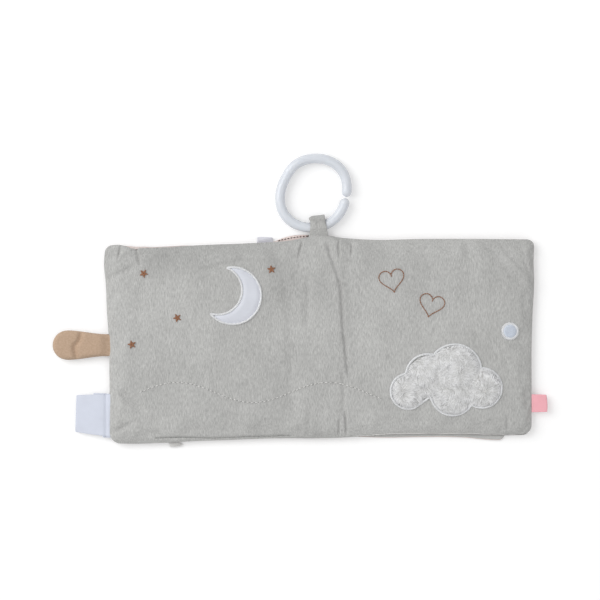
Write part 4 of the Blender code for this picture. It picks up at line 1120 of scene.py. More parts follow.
def satin_band(name, path, half_width, height, closed=True, lift=0.0):
    """A low tube along a line on the velour, with a crest for every laid thread."""
    steps = along([(x, y, 0) for x, y in path], THREAD_PITCH / 2, closed)
    if len(steps) % 2:
        steps = steps[:-1]
    around = 8
    count = len(steps) if closed else len(steps) - 1
    band = add_grid(name, count, around)
    row_i, col_i = grid_indexes(band, count, around)
    where = np.array([[p.x, p.y] for p, _ in steps])
    ahead = np.array([[d.x, d.y] for _, d in steps])
    ahead = (ahead + np.roll(ahead, 1, axis=0) + np.roll(ahead, -1, axis=0)) / 3
    level = np.array([velour_height(x, y) for x, y in where])
    i = row_i.astype(int) % len(steps)
    angle = 2 * math.pi * col_i / around
    crest = np.where(i % 2 == 0, 1.0, 0.84)
    width = half_width * np.where(i % 2 == 0, 1.0, 0.94)
    if not closed:
        taper = np.clip(np.minimum(row_i, count - row_i) / 3, 0.15, 1)
        width, crest = width * taper, crest * taper
    side = width * np.cos(angle)
    z = height * crest * np.where(np.sin(angle) > 0, np.sin(angle), 0.15 * np.sin(angle))
    points = np.stack([BOOK.x + where[i, 0] - ahead[i, 1] * side,
                       BOOK.y + where[i, 1] + ahead[i, 0] * side, level[i] + lift + z], axis=1)
    move_points(band, points)
    return smoothed(face_outwards(band))


def lobed_outline(extra, count=240):
    """The outline round the cloud's lobes, grown by a margin."""
    outline = []
    for i in range(count):
        dx, dy = math.cos(2 * math.pi * i / count), math.sin(2 * math.pi * i / count)
        reach = 0.0
        for x, y, r in CLOUD_LOBES:
            along_ray = x * dx + y * dy
            inside = (r + extra) ** 2 - x * x - y * y + along_ray ** 2
            if inside > 0:
                reach = max(reach, along_ray + math.sqrt(inside))
        outline.append((CLOUD_X + reach * dx, CLOUD_Y + reach * dy))
    return outline


# %% [markdown]
# The moon is a crescent of white satin, sewn down all round. It is filled as one flat face, cut into
# small squares with bisect cuts, and puffed up a little in the middle. A band of satin stitch covers
# its cut edge.

# %% The moon
MOON_X, MOON_Y = -0.0700, 0.0330
MOON_CELL = 0.0013
MOON_SATIN = 0.0003
MOON_PUFF, MOON_PUFF_ROLL = 0.0011, 0.0035
MOON_RADIUS, BITE_RADIUS, BITE_OFFSET, BITE_TURN = 0.0225, 0.0195, 0.0125, math.radians(160)


def crescent(extra, count=60):
    outer, bite, offset = MOON_RADIUS + extra, BITE_RADIUS - extra, BITE_OFFSET
    tip_x = (outer ** 2 - bite ** 2 + offset ** 2) / (2 * offset)
    tip_y = math.sqrt(outer ** 2 - tip_x ** 2)
    out_turn, in_turn = math.atan2(tip_y, tip_x), math.atan2(tip_y, tip_x - offset)
    line = []
    for i in range(count):
        a = out_turn + (2 * math.pi - 2 * out_turn) * i / count
        line.append((outer * math.cos(a), outer * math.sin(a)))
    for i in range(count):
        a = -in_turn - (2 * math.pi - 2 * in_turn) * i / count
        line.append((offset + bite * math.cos(a), bite * math.sin(a)))
    c, s = math.cos(BITE_TURN), math.sin(BITE_TURN)
    return [(MOON_X + x * c - y * s, MOON_Y + x * s + y * c) for x, y in line]


def filled(name, outline, cell):
    """A flat face with the given outline, cut into squares by bisecting it both ways."""
    mesh = bpy.data.meshes.new(name)
    mesh.from_pydata([tuple(at(x, y, SEAM_Z)) for x, y in outline], [], [list(range(len(outline)))])
    made = bpy.data.objects.new(name, mesh)
    bpy.context.collection.objects.link(made)
    take(made)
    bpy.ops.object.mode_set(mode="EDIT")
    low, high = np.min(outline, axis=0), np.max(outline, axis=0)
    for axis, normal in ((0, (1, 0, 0)), (1, (0, 1, 0))):
        for cut in np.arange(low[axis] + cell / 2, high[axis], cell):
            spot = at(cut, 0, SEAM_Z) if axis == 0 else at(0, cut, SEAM_Z)
            bpy.ops.mesh.select_all(action="SELECT")
            bpy.ops.mesh.bisect(plane_co=spot, plane_no=normal)
    bpy.ops.object.mode_set(mode="OBJECT")
    return made


def to_line(points, line):
    """The distance from each point to the nearest place on a closed line."""
    line = np.array(line)
    return np.sqrt(((points[:, None, :2] - line[None, :, :]) ** 2).sum(axis=2)).min(axis=1)


moon = filled("moon", crescent(0.0), MOON_CELL)
points = points_of(moon)
inside = to_line(points - np.array([BOOK.x, BOOK.y, 0]), crescent(0.0, 160))
puff = MOON_PUFF * rolled(np.maximum(inside - 0.0009, 0), MOON_PUFF_ROLL)
puff += 0.00010 * soft_noise(points, 0.004, 2.0) * np.clip(inside / 0.002, 0, 1)
points[:, 2] = heights_under(points) + 0.00015 + puff
move_points(moon, points)
thickened(smoothed(moon), MOON_SATIN)
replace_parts(wear(moon, satin, "back_cover"), "moon_patch")
moon_rim = satin_band("moon_rim", crescent(0.0002), RIM_HALF_WIDTH, height=0.00130)
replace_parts(wear(moon_rim, bright_thread, "back_cover"), "moon_edge_stitch")

# %% [markdown]
# Each star is machine embroidery: five arms of brown satin stitch, laid from the middle to the tip.
# An arm is a short open band from the same helper, narrowed by scaling its points across the arm's
# own line. The five arms are joined into one star.

# %% The stars
def star_at(name, middle, turn, radius):
    arms = []
    for k in range(5):
        a = math.pi / 2 + 2 * math.pi * (turn + k / 5)
        tip = (middle.x + radius * math.cos(a), middle.y + radius * math.sin(a))
        line = [(middle.x, middle.y), tip]
        arm = satin_band("%s_arm_%d" % (name, k), line, half_width=0.00140, height=0.00075,
                         closed=False, lift=0.0001)
        points = points_of(arm)
        reach = np.hypot(points[:, 0] - BOOK.x - middle.x, points[:, 1] - BOOK.y - middle.y) / radius
        slim = np.clip(1.20 - reach, 0.22, 1)
        centre = np.array([BOOK.x + middle.x, BOOK.y + middle.y])
        ray = np.array([math.cos(a), math.sin(a)])
        flat = points[:, :2] - centre
        on_ray = flat @ ray
        off = flat - on_ray[:, None] * ray
        points[:, :2] = centre + on_ray[:, None] * ray + off * slim[:, None]
        move_points(arm, points)
        arms.append(arm)
    return join(arms, name)


STAR_RADIUS = 0.0037
for number, turn in enumerate((0.02, 0.07, 0.12, 0.04), 1):
    node = "star_%d" % number
    low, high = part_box(node)
    middle = (low + high) / 2 - BOOK
    star = star_at("embroidered_star_%d" % number, middle, turn, STAR_RADIUS)
    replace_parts(wear(star, brown_thread, "back_cover"), node)

# %% [markdown]
# The closing strap grips a round patch of hook tape on the front cover. The tape is a low domed disc
# with hundreds of tiny hooks, spread evenly by the golden angle, and a zigzag of white thread holds
# its rim. Each hook and each leg of the zigzag is a copy of the stitch.

# %% The closure dot
low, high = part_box("closure_dot")
DOT = (low + high) / 2 - BOOK
DOT_RADIUS, ZIGZAG_RADIUS, DOT_RIM_RADIUS = 0.0051, 0.0075, 0.0059
DOT_LIP, DOT_ROLL = 0.0004, 0.0016
HOOKS = 240
RIM_STEPS = 60


def round_dot(reach, turn):
    return Vector((DOT.x + reach * math.cos(turn), DOT.y + reach * math.sin(turn)))


def dot_dome(reach, height):
    """The height of the dot's dome at a distance from its middle."""
    return height * float(rolled(DOT_RADIUS + DOT_LIP - reach, DOT_ROLL))


deselect()
bpy.ops.mesh.primitive_circle_add(vertices=48, radius=DOT_RADIUS + DOT_LIP, fill_type="NGON")
dot = named("hook_dot")
open_up(dot)
for inset in (0.0005, 0.0012, 0.0014, 0.0012):
    bpy.ops.mesh.inset(thickness=inset, depth=0)
bpy.ops.object.mode_set(mode="OBJECT")
points = points_of(dot)
radial = np.hypot(points[:, 0], points[:, 1])
for k, (px, py, _) in enumerate(points):
    level = velour_height(DOT.x + px, DOT.y + py) + 0.0001
    points[k] = (BOOK.x + DOT.x + px, BOOK.y + DOT.y + py, level + dot_dome(radial[k], 0.0010))
move_points(dot, points)
thickened(smoothed(dot), 0.0004)
hooks = []
golden = math.pi * (3 - math.sqrt(5))
for k in range(HOOKS):
    reach = (DOT_RADIUS - DOT_LIP) * math.sqrt((k + 0.5) / HOOKS)
    spot = round_dot(reach, k * golden)
    hooks.append(facing(on_velour(spot.x, spot.y, dot_dome(reach, 0.0011) + 0.0001), (0.15, 0.1, 1),
                        (1, 0, 0), (0.00035, 0.00011, 0.00011)))
hook_field = copies_of(stitch, hooks, "hooks")
dot = join([dot, hook_field], "hook_dot")
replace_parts(wear(dot, hook_tape, "front_cover"), "closure_dot")
zigzag = []
ZIGZAGS = 76
for k in range(ZIGZAGS):
    a = 2 * math.pi * k / ZIGZAGS
    b = a + (0.055 if k % 2 else -0.055)
    inner, outer = round_dot(DOT_RADIUS - 0.0001, a), round_dot(ZIGZAG_RADIUS, b)
    middle = (inner + outer) / 2
    length = (outer - inner).length
    lift = 0.00055 + 0.0001 * (k % 2)
    zigzag.append(facing(on_velour(middle.x, middle.y, lift), (outer - inner).to_3d(), (0, 0, 1),
                         (length / 2, 0.00036, 0.00040)))
zigzag = copies_of(stitch, zigzag, "dot_zigzag")
rim_line = [round_dot(DOT_RIM_RADIUS, 2 * math.pi * k / RIM_STEPS) for k in range(RIM_STEPS)]
zigzag = join([zigzag, satin_band("dot_rim", rim_line, RIM_HALF_WIDTH, height=0.00080)], "dot_zigzag")
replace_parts(wear(zigzag, bright_thread, "front_cover"), "closure_dot_stitching")

# %% [markdown]
# The cloud is stuffed plush. Five flattened balls are joined by a voxel remesh into one lobed form,
# which is swelled as cloth with a little air pressure. That eases the creases between the lobes the
# way stuffing does, though by well under a tenth of a millimetre here. The pile comes afterwards.

# %% The cloud's stuffed body
low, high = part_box("cloud_plush")
CLOUD_WIDTH, CLOUD_X, CLOUD_Y = 0.0860, 0.1000, -0.0370
CLOUD_LOBES = [(x * CLOUD_WIDTH, y * CLOUD_WIDTH, r * CLOUD_WIDTH) for x, y, r in (
    (-0.350, -0.070, 0.150), (-0.170, 0.070, 0.190), (0.080, 0.120, 0.230), (0.330, -0.040, 0.170),
    (0.060, -0.090, 0.190))]
CLOUD_FLATNESS = 0.22
CLOUD_VOXEL = 0.0016
lobes = []
for x, y, r in CLOUD_LOBES:
    deselect()
    place = at(CLOUD_X + x, CLOUD_Y + y, low.z)
    bpy.ops.mesh.primitive_uv_sphere_add(segments=32, ring_count=16, radius=r - 0.0006, location=place)
    lobe = bpy.context.object
    lobe.scale.z = CLOUD_FLATNESS
    lobes.append(settle(lobe))
cloud = join(lobes, "plush_cloud")
cloud.data.remesh_voxel_size = CLOUD_VOXEL
take(cloud)
bpy.ops.object.voxel_remesh()
points = points_of(cloud)
swell(cloud, points[:, 2] < low.z + 0.0006, pressure=2.0, slack_share=0.0, cap=0.0012)
subdivided(cloud, 1)
points = points_of(cloud)
base = heights_under(points)
points[:, 2] = np.maximum(points[:, 2] + 0.0003, base + 0.00005)
points[:, 2] += 0.00045 * soft_noise(points, 0.006, 4.0) * np.clip((points[:, 2] - base) / 0.002, 0, 1)
move_points(cloud, points)
smoothed(cloud)
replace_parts(wear(cloud, white_plush, "front_cover"), "cloud_plush")

# %% [markdown]
# Plush pile stands in small locks that lean together. One lock is a slim curved cone. Thousands of
# copies grow from the cloud's faces, leaning outwards with a slow change of direction, and the roots
# are darker than the tips, as they are where light doesn't reach. The dice and the swirls of the noise
# have fixed seeds, so that each run grows the same pile.

# %% One lock of pile
deselect()
bpy.ops.mesh.primitive_cone_add(vertices=5, radius1=1.0, radius2=0.12, depth=1.0, location=(0, 0, 0.5),
                                end_fill_type="NOTHING")
lock = named("lock_pattern")
open_up(lock)
for height in (0.33, 0.66):
    bpy.ops.mesh.select_all(action="SELECT")
    bpy.ops.mesh.bisect(plane_co=(0, 0, height - 0.5), plane_no=(0, 0, 1))
bpy.ops.object.mode_set(mode="OBJECT")
lock = settle(lock)
points = points_of(lock)
tips = points[:, 2].copy()
points[:, 0:2] *= (1 - 0.25 * tips[:, None] ** 2)
tip = lock.data.attributes.new("tip", "FLOAT", "POINT")
tip.data.foreach_set("value", tips)
move_points(lock, points)
PILE_LOCKS = 4800
PILE_REACH = 0.0009
SWIRL_SEED = 4
SWIRL_SIZE = 0.011
noise.seed_set(SWIRL_SEED)
print("lock", len(lock.data.polygons), "faces")


def grow_pile(name, surface, count, length, radius, seed, combed, stand, lowest=-0.2):
    """Locks scattered over a surface's faces, each bent over towards a combed direction."""
    dice = random.Random(seed)
    faces = surface.data.polygons
    corners = points_of(surface)
    centres = np.array([corners[list(face.vertices)].sum(axis=0) / len(face.vertices) for face in faces])
    # A sphere's faces come in another order on each run, so they are put in order by their places.
    order = np.lexsort(centres.T)
    centres = centres[order]
    areas = np.array([faces[int(k)].area for k in order])
    normals = np.array([faces[int(k)].normal[:] for k in order])
    usable = areas * (normals[:, 2] > lowest)
    chosen = dice.choices(range(len(areas)), weights=usable.tolist(), k=count)
    pattern = points_of(lock)
    places, bends = [], []
    for index in chosen:
        out = Vector(normals[index])
        spot = Vector(centres[index]) + Vector((dice.uniform(-1, 1), dice.uniform(-1, 1), 0)) * 0.0006
        lean = combed(spot) + 0.22 * Vector((dice.uniform(-1, 1), dice.uniform(-1, 1), 0))
        swirl = noise.noise_vector(spot / SWIRL_SIZE) * 1.1
        lean = lean + Vector((swirl.x, swirl.y, 0))
        lean = (lean - out * lean.dot(out)) * 0.9
        if lean.length > 1e-6:
            lean.normalize()
        ahead = out * stand + lean
        ahead.z = min(ahead.z, 0.35)
        ahead.normalize()
        size = length * dice.uniform(0.7, 1.25)
        girth = radius * dice.uniform(0.75, 1.3)
        side = ahead.cross(out).normalized() if ahead.cross(out).length > 1e-6 else Vector((1, 0, 0))
        over = side.cross(ahead)
        turned = Matrix((over * girth, side * girth, ahead * size)).transposed()
        places.append(Matrix.Translation(spot - out * 0.0002) @ turned.to_4x4())
        bends.append((out, size))
    made = copies_of(lock, places, name)
    points = points_of(made).reshape(len(places), len(pattern), 3)
    share = pattern[:, 2][None, :, None]
    out = np.array([list(o) for o, _ in bends])[:, None, :]
    size = np.array([s for _, s in bends])[:, None, None]
    points = points - out * size * 0.14 * share ** 2
    move_points(made, points.reshape(-1, 3))
    return made


def from_middle(spot):
    """Pile combed outwards from the middle of each lobe and a little down the page."""
    x, y = spot.x - BOOK.x - CLOUD_X, spot.y - BOOK.y - CLOUD_Y
    nearest = min(CLOUD_LOBES, key=lambda lobe: math.hypot(x - lobe[0], y - lobe[1]) / lobe[2])
    away = Vector((x - nearest[0], y - nearest[1], 0)) / nearest[2]
    return away * 0.9 + Vector((0.08, -0.30, 0))


pile = grow_pile("cloud_pile", cloud, PILE_LOCKS, length=0.0068, radius=0.00062, seed=11,
                 combed=from_middle, stand=0.16)
points = points_of(pile)
lobe_table = np.array(CLOUD_LOBES)
centres = lobe_table[:, :2] + np.array([BOOK.x + CLOUD_X, BOOK.y + CLOUD_Y])
reach = np.linalg.norm(points[:, None, :2] - centres, axis=2)
nearest = (reach - lobe_table[:, 2]).argmin(axis=1)
reach = reach[np.arange(len(points)), nearest]
# Locks that reach past the cloud's edge are drawn back to a narrow fringe round it.
limit = lobe_table[nearest, 2] + PILE_REACH
held = np.minimum(reach, limit) / reach
points[:, :2] = centres[nearest] + (points[:, :2] - centres[nearest]) * held[:, None]
points[:, 2] = np.maximum(points[:, 2], heights_under(points) + 0.0003)
move_points(pile, points)
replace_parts(wear(pile, pile_white, "front_cover"), "cloud_plush")
cloud_rim = satin_band("cloud_rim", lobed_outline(0.0012), RIM_HALF_WIDTH, height=0.00125)
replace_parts(wear(cloud_rim, bright_thread, "front_cover"), "cloud_edge_stitch")

# %% [markdown]
# The ring is one moulded rod, bent almost closed. A torus primitive has its turns opened at the gap,
# and each turn is moved to the ring's slightly squared oval, a little flat at its upper left. The ring
# hangs slightly low in its loop. The last turns shrink to round the ends.

# %% The link ring
RING_RADIUS, RING_STROKE = 0.0274, 0.0078
RING_OVAL_SHARE, RING_OVAL_TURN = 0.045, math.radians(57)
RING_SQUARE_SHARE, RING_SQUARE_TURN = 0.015, math.radians(40)
RING_FLAT_SHARE, RING_FLAT_TURN, RING_FLAT_REACH = 0.035, math.radians(148), math.radians(24)
RING_HANGS = 0.0012
GAP_TURN, GAP_WIDTH = math.radians(-8), 0.0012
RING_TURNS = 132
ROD = 0.25
END_STEPS = 7
low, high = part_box("link_ring")


def ring_radius(turn):
    oval = RING_OVAL_SHARE * np.cos(2 * (turn - RING_OVAL_TURN))
    square = RING_SQUARE_SHARE * np.cos(4 * (turn - RING_SQUARE_TURN))
    flat = RING_FLAT_SHARE * np.exp(-(((turn - RING_FLAT_TURN) / RING_FLAT_REACH) ** 2))
    return RING_RADIUS * (1 + oval + square - flat)


def torus_turns(places):
    """How many steps round the torus each place is."""
    return np.arctan2(places[:, 1], places[:, 0]) / (2 * math.pi) * RING_TURNS


turns = np.linspace(0, 2 * math.pi, 721)
edge = ring_radius(turns) + RING_STROKE / 2
ring_left, ring_low = (edge * np.cos(turns)).min(), (edge * np.sin(turns)).min()
RING_MIDDLE = Vector((low.x - ring_left, low.y - ring_low - RING_HANGS, SEAM_Z))
deselect()
bpy.ops.mesh.primitive_torus_add(major_segments=RING_TURNS, minor_segments=20, major_radius=1.0,
                                 minor_radius=ROD)
ring = named("ring")
points = points_of(ring)
step = np.round(torus_turns(points)).astype(int) % RING_TURNS
out = np.hypot(points[:, 0], points[:, 1]) - 1
face_turn = torus_turns(centres_of(ring))
delete_faces(ring, (face_turn > -1) & (face_turn < 0), "ONLY_FACE")
half_gap = GAP_WIDTH / 2 / float(ring_radius(GAP_TURN))
first, last = GAP_TURN + half_gap, GAP_TURN + 2 * math.pi - half_gap
end_turn = RING_STROKE / 2 / float(ring_radius(GAP_TURN))
from_end = np.minimum(step, RING_TURNS - 1 - step)
near_end = np.clip(from_end / END_STEPS, 0, 1)
end_angle = near_end * math.pi / 2
inner_span = (last - first) - 2 * end_turn
turn = np.where(from_end >= END_STEPS,
                first + end_turn + inner_span * (step - END_STEPS) / (RING_TURNS - 1 - 2 * END_STEPS),
                np.where(step < RING_TURNS / 2, first + end_turn * (1 - np.cos(end_angle)),
                         last - end_turn * (1 - np.cos(end_angle))))
girth = np.where(from_end >= END_STEPS, 1.0, np.maximum(np.sin(end_angle), 0.02))
radius = ring_radius(turn) + out * girth * RING_STROKE / 2 / ROD
points = np.stack([RING_MIDDLE.x + radius * np.cos(turn), RING_MIDDLE.y + radius * np.sin(turn),
                   RING_MIDDLE.z + points[:, 2] * girth * RING_STROKE / 2 / ROD], axis=1)
move_points(ring, points)
take(ring)
bpy.ops.object.mode_set(mode="EDIT")
bpy.ops.mesh.select_all(action="DESELECT")
bpy.ops.mesh.select_mode(type="VERT")
bpy.ops.mesh.select_non_manifold(extend=False, use_boundary=True, use_wire=False, use_multi_face=False,
                                 use_non_contiguous=False, use_verts=False)
bpy.ops.mesh.edge_face_add()
bpy.ops.object.mode_set(mode="OBJECT")
smoothed(face_outwards(ring))
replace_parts(wear(ring, white_plastic, "link_ring"), "link_ring")
print("ring box", [round(1000 * c, 1) for c in ring.bound_box[0]], "cad", [round(1000 * c, 1) for c in low])

# %% [markdown]
# A short band of velour holds the ring to the spine. It is a strip folded over the ring and sewn into
# the top seam, so it is drawn as a line seen from its side and given its width. The strip narrows in
# the middle, where the ring pulls it, and spreads where it enters the seam.

# %% The ring's loop
LOOP_CLOTH = 0.00075
LOOP_COLUMNS = 16
low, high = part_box("ring_loop")
LOOP_ROOT = low.y - BOOK.y
LOOP_INNER = 0.0042
loop_far = high.y - BOOK.y - LOOP_INNER - LOOP_CLOTH
side_line = [(LOOP_ROOT - 0.0042, 0.0010), (LOOP_ROOT - 0.0010, 0.0009), (LOOP_ROOT + 0.0020, 0.0030),
             (LOOP_ROOT + 0.0050, 0.0046)]
side_line += [(loop_far + (LOOP_INNER + LOOP_CLOTH) * math.sin(a), (LOOP_INNER + LOOP_CLOTH) * math.cos(a))
              for a in np.linspace(0, math.pi, 13)]
side_line += [(y, -z) for y, z in reversed(side_line[:4])]
steps = along([(0, y, z) for y, z in side_line], 0.0006)
LOOP_COUNT = len(steps) - 1
loop = add_grid("velour_loop", LOOP_COLUMNS, LOOP_COUNT)
across, up = grid_indexes(loop, LOOP_COLUMNS, LOOP_COUNT)
path = np.array([[p.y, p.z] for p, _ in steps])
y_of, z_of = path[up.astype(int), 0], path[up.astype(int), 1]
s = (y_of - LOOP_ROOT) / 0.0150
left = curve_through([(-0.4, -0.0094), (0.0, -0.0092), (0.35, -0.0083), (0.7, -0.0084), (1.1, -0.0101)], s)
right = curve_through([(-0.4, 0.0064), (0.0, 0.0060), (0.35, 0.0050), (0.7, 0.0040), (1.1, 0.0031)], s)
x = left + (right - left) * across / LOOP_COLUMNS
lean = 0.0011 * (across / LOOP_COLUMNS - 0.5) * np.clip(s, 0, 1)
crease = 0.00045 * np.exp(-(((x + 0.0040 - 0.003 * s) / 0.0011) ** 2)) * np.clip(1.2 - s, 0, 1)
crease += 0.00035 * np.exp(-(((x - 0.0006 + 0.002 * s) / 0.0010) ** 2)) * np.clip(1.1 - s, 0, 1)
v = np.abs(2 * across / LOOP_COLUMNS - 1)
shrink = 1 - crease / 0.005 - 0.10 * v ** 5
drawn_in = 1 - 0.50 * v ** 4 * (across < LOOP_COLUMNS / 2)
pulled = np.where(y_of > loop_far, loop_far + (y_of - loop_far) * drawn_in, y_of)
points = np.stack([BOOK.x + x, BOOK.y + pulled + lean, SEAM_Z + z_of * shrink], axis=1)
points += 0.00022 * np.stack([soft_noise(points, 0.004, 1.0), soft_noise(points, 0.005, 3.0),
                              soft_noise(points, 0.004, 5.0)], axis=1)
move_points(loop, points)
face_outwards(smoothed(loop), merge=False)
thickened(loop, LOOP_CLOTH)
subdivided(loop, 1)
# Painted shade: the top of the loop, where it folds over the ring, is darkened through the same attribute
# as the cover's patches.
reach = (points_of(loop)[:, 1] - BOOK.y - LOOP_ROOT) / (loop_far - LOOP_ROOT)
shaded = 0.13 * np.exp(-(((reach - 1.05) / 0.38) ** 2))
loop.data.attributes.new("painted_shade", "FLOAT", "POINT").data.foreach_set("value", shaded)
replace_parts(wear(loop, velour), "ring_loop")
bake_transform(loop)

# %% [markdown]
# The closing strap is tan plush on the outside, backed with plain cloth, and sewn into the back cover's
# fore edge. A grid is bent into its tongue shape: the far end's columns follow a half circle. The strap
# has been folded for years, which leaves a soft S-shaped crease across it.

# %% The strap's shape
STRAP_AXIS = Vector(joints["strap_base_fold"]["pos_m"]) - BOOK
STRAP_FOLD = Vector(joints["strap_end_fold"]["pos_m"]) - BOOK
STRAP_Y, STRAP_LENGTH, STRAP_ROOT = -0.0064, 0.0428, 0.0176
STRAP_WIDTH = 0.0236
STRAP_COLUMNS, STRAP_ROWS = 54, 24
STRAP_START = -0.0040
STRAP_CREASE = in_mm(((-190.2, 6.5), (-190.8, 3.0), (-192.2, -3.2), (-195.9, -7.2), (-195.7, -11.0),
                      (-193.6, -19.0)))


def strap_sheet(name, above):
    sheet = add_grid(name, STRAP_COLUMNS, STRAP_ROWS)
    column, row = grid_indexes(sheet, STRAP_COLUMNS, STRAP_ROWS)
    v = 2 * row / STRAP_ROWS - 1
    v = np.sign(v) * (1 - (1 - np.abs(v)) ** 1.25)
    tip = STRAP_LENGTH - STRAP_WIDTH / 2
    far = tip + STRAP_WIDTH / 2 * np.sqrt(1 - v * v)
    u = 1 - (1 - column / STRAP_COLUMNS) ** 1.12
    distance = STRAP_START + u * (far - STRAP_START)
    widen = eased(distance / tip)
    half = STRAP_ROOT / 2 + (STRAP_WIDTH - STRAP_ROOT) / 2 * widen
    x, y = STRAP_AXIS.x - distance, STRAP_Y + v * half
    to_side = half * (1 - np.abs(v))
    to_tip = far - distance
    edge = np.minimum(to_side, to_tip * 0.9)
    if above:
        z = 0.0033 * rolled(edge, 0.0032) * (0.15 + 0.85 * eased((distance + 0.003) / 0.009))
        z -= fold_depth(np.stack([x, y], axis=1), STRAP_CREASE, 0.0021, 0.0024) * np.clip(z / 0.003, 0, 1)
        z += 0.00030 * soft_noise(np.c_[x, y, 0 * x], 0.008, 9.0) * np.clip(z / 0.002, 0, 1)
    else:
        z = -0.0006 * rolled(edge, 0.0020)
    move_points(sheet, np.stack([BOOK.x + x, BOOK.y + y, SEAM_Z + z], axis=1))
    return sheet


strap_top = strap_sheet("strap_top", True)
strap_under = strap_sheet("strap_under", False)
for sheet, up in ((strap_top, True), (strap_under, False)):
    face_outwards(sheet)
    if (sheet.data.polygons[0].normal.z > 0) != up:
        turn_over(sheet)
    smoothed(subdivided(sheet, 1))
print("strap", len(strap_top.data.polygons), "faces a side")

# %% [markdown]
# The strap bends at its root and again where it wraps round the closed book's fore edge, so it is cut
# between the two bends.

# %% Cutting the strap
STRAP_CLOTH = 0.0005
STRAP_CUT = (STRAP_AXIS.x + STRAP_FOLD.x) / 2
STRAP_HALVES = (
    ("base", STRAP_CUT, 1.0, ("back_cover", "strap_base"), STRAP_AXIS.x + 0.0012, STRAP_AXIS.x - 0.0045),
    ("end", -1.0, STRAP_CUT, ("strap_base", "strap_end"), STRAP_FOLD.x + 0.0035, STRAP_FOLD.x - 0.0035),
)
for sheet, kind, finish in ((strap_top, "plush", tan_plush), (strap_under, "backing", tan_backing)):
    note_normals(sheet)
    for part, low_x, high_x, bodies, start, end in STRAP_HALVES:
        piece = cut_cloth(sheet, "strap_%s_%s_cloth" % (part, kind), low_x, high_x, STRAP_CLOTH)
        wear(piece, finish)
        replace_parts(piece, "strap_%s_%s" % (part, kind))
        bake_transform(piece)
    bpy.data.objects.remove(sheet)

# %% [markdown]
# Under the strap's end a patch of loop tape meets the hooks of the closure dot. It is a slim tongue
# with a soft field of loops. It starts as a block cut into small squares, as the binding and the
# batting do further on, and its points are then moved by where they are in the block.

# %% The loop patch
def block_of(name, low, high, cuts):
    """A box between two corners, with its faces cut into small squares."""
    deselect()
    bpy.ops.mesh.primitive_cube_add(size=1.0, location=(low + high) / 2, scale=high - low)
    block = settle(named(name))
    open_up(block)
    bpy.ops.mesh.subdivide(number_cuts=cuts)
    bpy.ops.object.mode_set(mode="OBJECT")
    return block


def in_box(points, low, high):
    """The box's middle and half size, and each point's place in it from -1 to 1."""
    middle, half = np.array((low + high) / 2), np.array((high - low) / 2)
    return middle, half, (points - middle) / half


low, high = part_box("strap_loop_patch")
patch = block_of("loop_patch", low, high, 9)
points = points_of(patch)
middle, half, unit = in_box(points, low, high)
ends = half[0] - half[1] * (1 - np.sqrt(np.clip(1 - 0.96 * unit[:, 1] ** 2, 0, 1)))
points[:, 0] = middle[0] + unit[:, 0] * ends
points[:, 2] += -0.0001 * np.where(unit[:, 2] < 0, 1, 0) * (1 - unit[:, 1] ** 2)
raised = points[:, 2] + 0.00035 * np.clip(np.abs(unit[:, 1]) * 3 - 2, 0, 1)
points[:, 2] = np.where(unit[:, 2] < 0, raised, points[:, 2])
move_points(patch, points)
take(patch)
bpy.ops.object.shade_smooth_by_angle(angle=math.radians(50))
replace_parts(wear(patch, loop_tape, "strap_end"), "strap_loop_patch")

# %% [markdown]
# The care label is a strip of white satin, folded and sewn into the seam below the strap. It is limp,
# so it droops from the seam towards the table and cups a little. The underside is a second, shorter
# fold of the same ribbon. Nothing is printed on it here.

# %% The care label
LABEL_HINGE = Vector(joints["care_label_flop"]["pos_m"]) - BOOK
LABEL_COLUMNS, LABEL_ROWS = 26, 24
LABEL_SATIN = 0.00028
LABEL_LOWEST = 0.0006


def label_ply(name, corners, droop, lift, cup):
    """A satin sheet between four corners: outer top, root top, root bottom and outer bottom."""
    ply = add_grid(name, LABEL_COLUMNS, LABEL_ROWS)
    column, row = grid_indexes(ply, LABEL_COLUMNS, LABEL_ROWS)
    u, v = column / LABEL_COLUMNS, row / LABEL_ROWS
    (ax, ay), (bx, by), (cx, cy), (dx, dy) = in_mm(corners)
    x = (1 - v) * (dx + (cx - dx) * u) + v * (ax + (bx - ax) * u)
    y = (1 - v) * (dy + (cy - dy) * u) + v * (ay + (by - ay) * u)
    reach = np.clip((LABEL_HINGE.x - x) / 0.027, 0, 1.1)
    z = SEAM_Z + lift - droop * reach ** 1.3 + cup * np.sin(math.pi * v) * (0.3 + reach) * 0.6 * (reach > 0)
    z -= 0.0009 * np.exp(-((x + 0.1712) / 0.0010) ** 2)
    z += 0.0005 * np.sin(3.1 * u + 2.0 * v) * reach
    y += 0.0004 * np.sin(math.pi * u) * (v - 0.5)
    move_points(ply, np.stack([BOOK.x + x, BOOK.y + y, np.maximum(z, LABEL_LOWEST)], axis=1))
    thickened(smoothed(ply), LABEL_SATIN)
    return subdivided(ply, 1)


label = label_ply("satin_label", ((-195.0, -46.3), (-166.4, -45.6), (-166.4, -79.6), (-196.0, -75.8)),
                  droop=0.0030, lift=0.00030, cup=0.0007)
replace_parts(wear(label, label_satin), "care_label")
under = label_ply("satin_label_under", ((-181.6, -44.6), (-166.6, -45.4), (-166.6, -80.2), (-173.8, -80.1)),
                  droop=0.0026, lift=-0.00035, cup=0.0004)
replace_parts(wear(under, label_satin), "care_label_under_ply")
for ply in (label, under):
    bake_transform(ply)

# %% [markdown]
# Three small ribbons stand out of the seams: a pink tab at the fore edge, a white one at the top of a page,
# and the loop above. Each is a strip folded in two and sewn in, so it is round at its fold and thin at its
# root. One helper makes the two tabs from a line seen from the side.

# %% Folded ribbon tabs
TAB_COLUMNS = 18


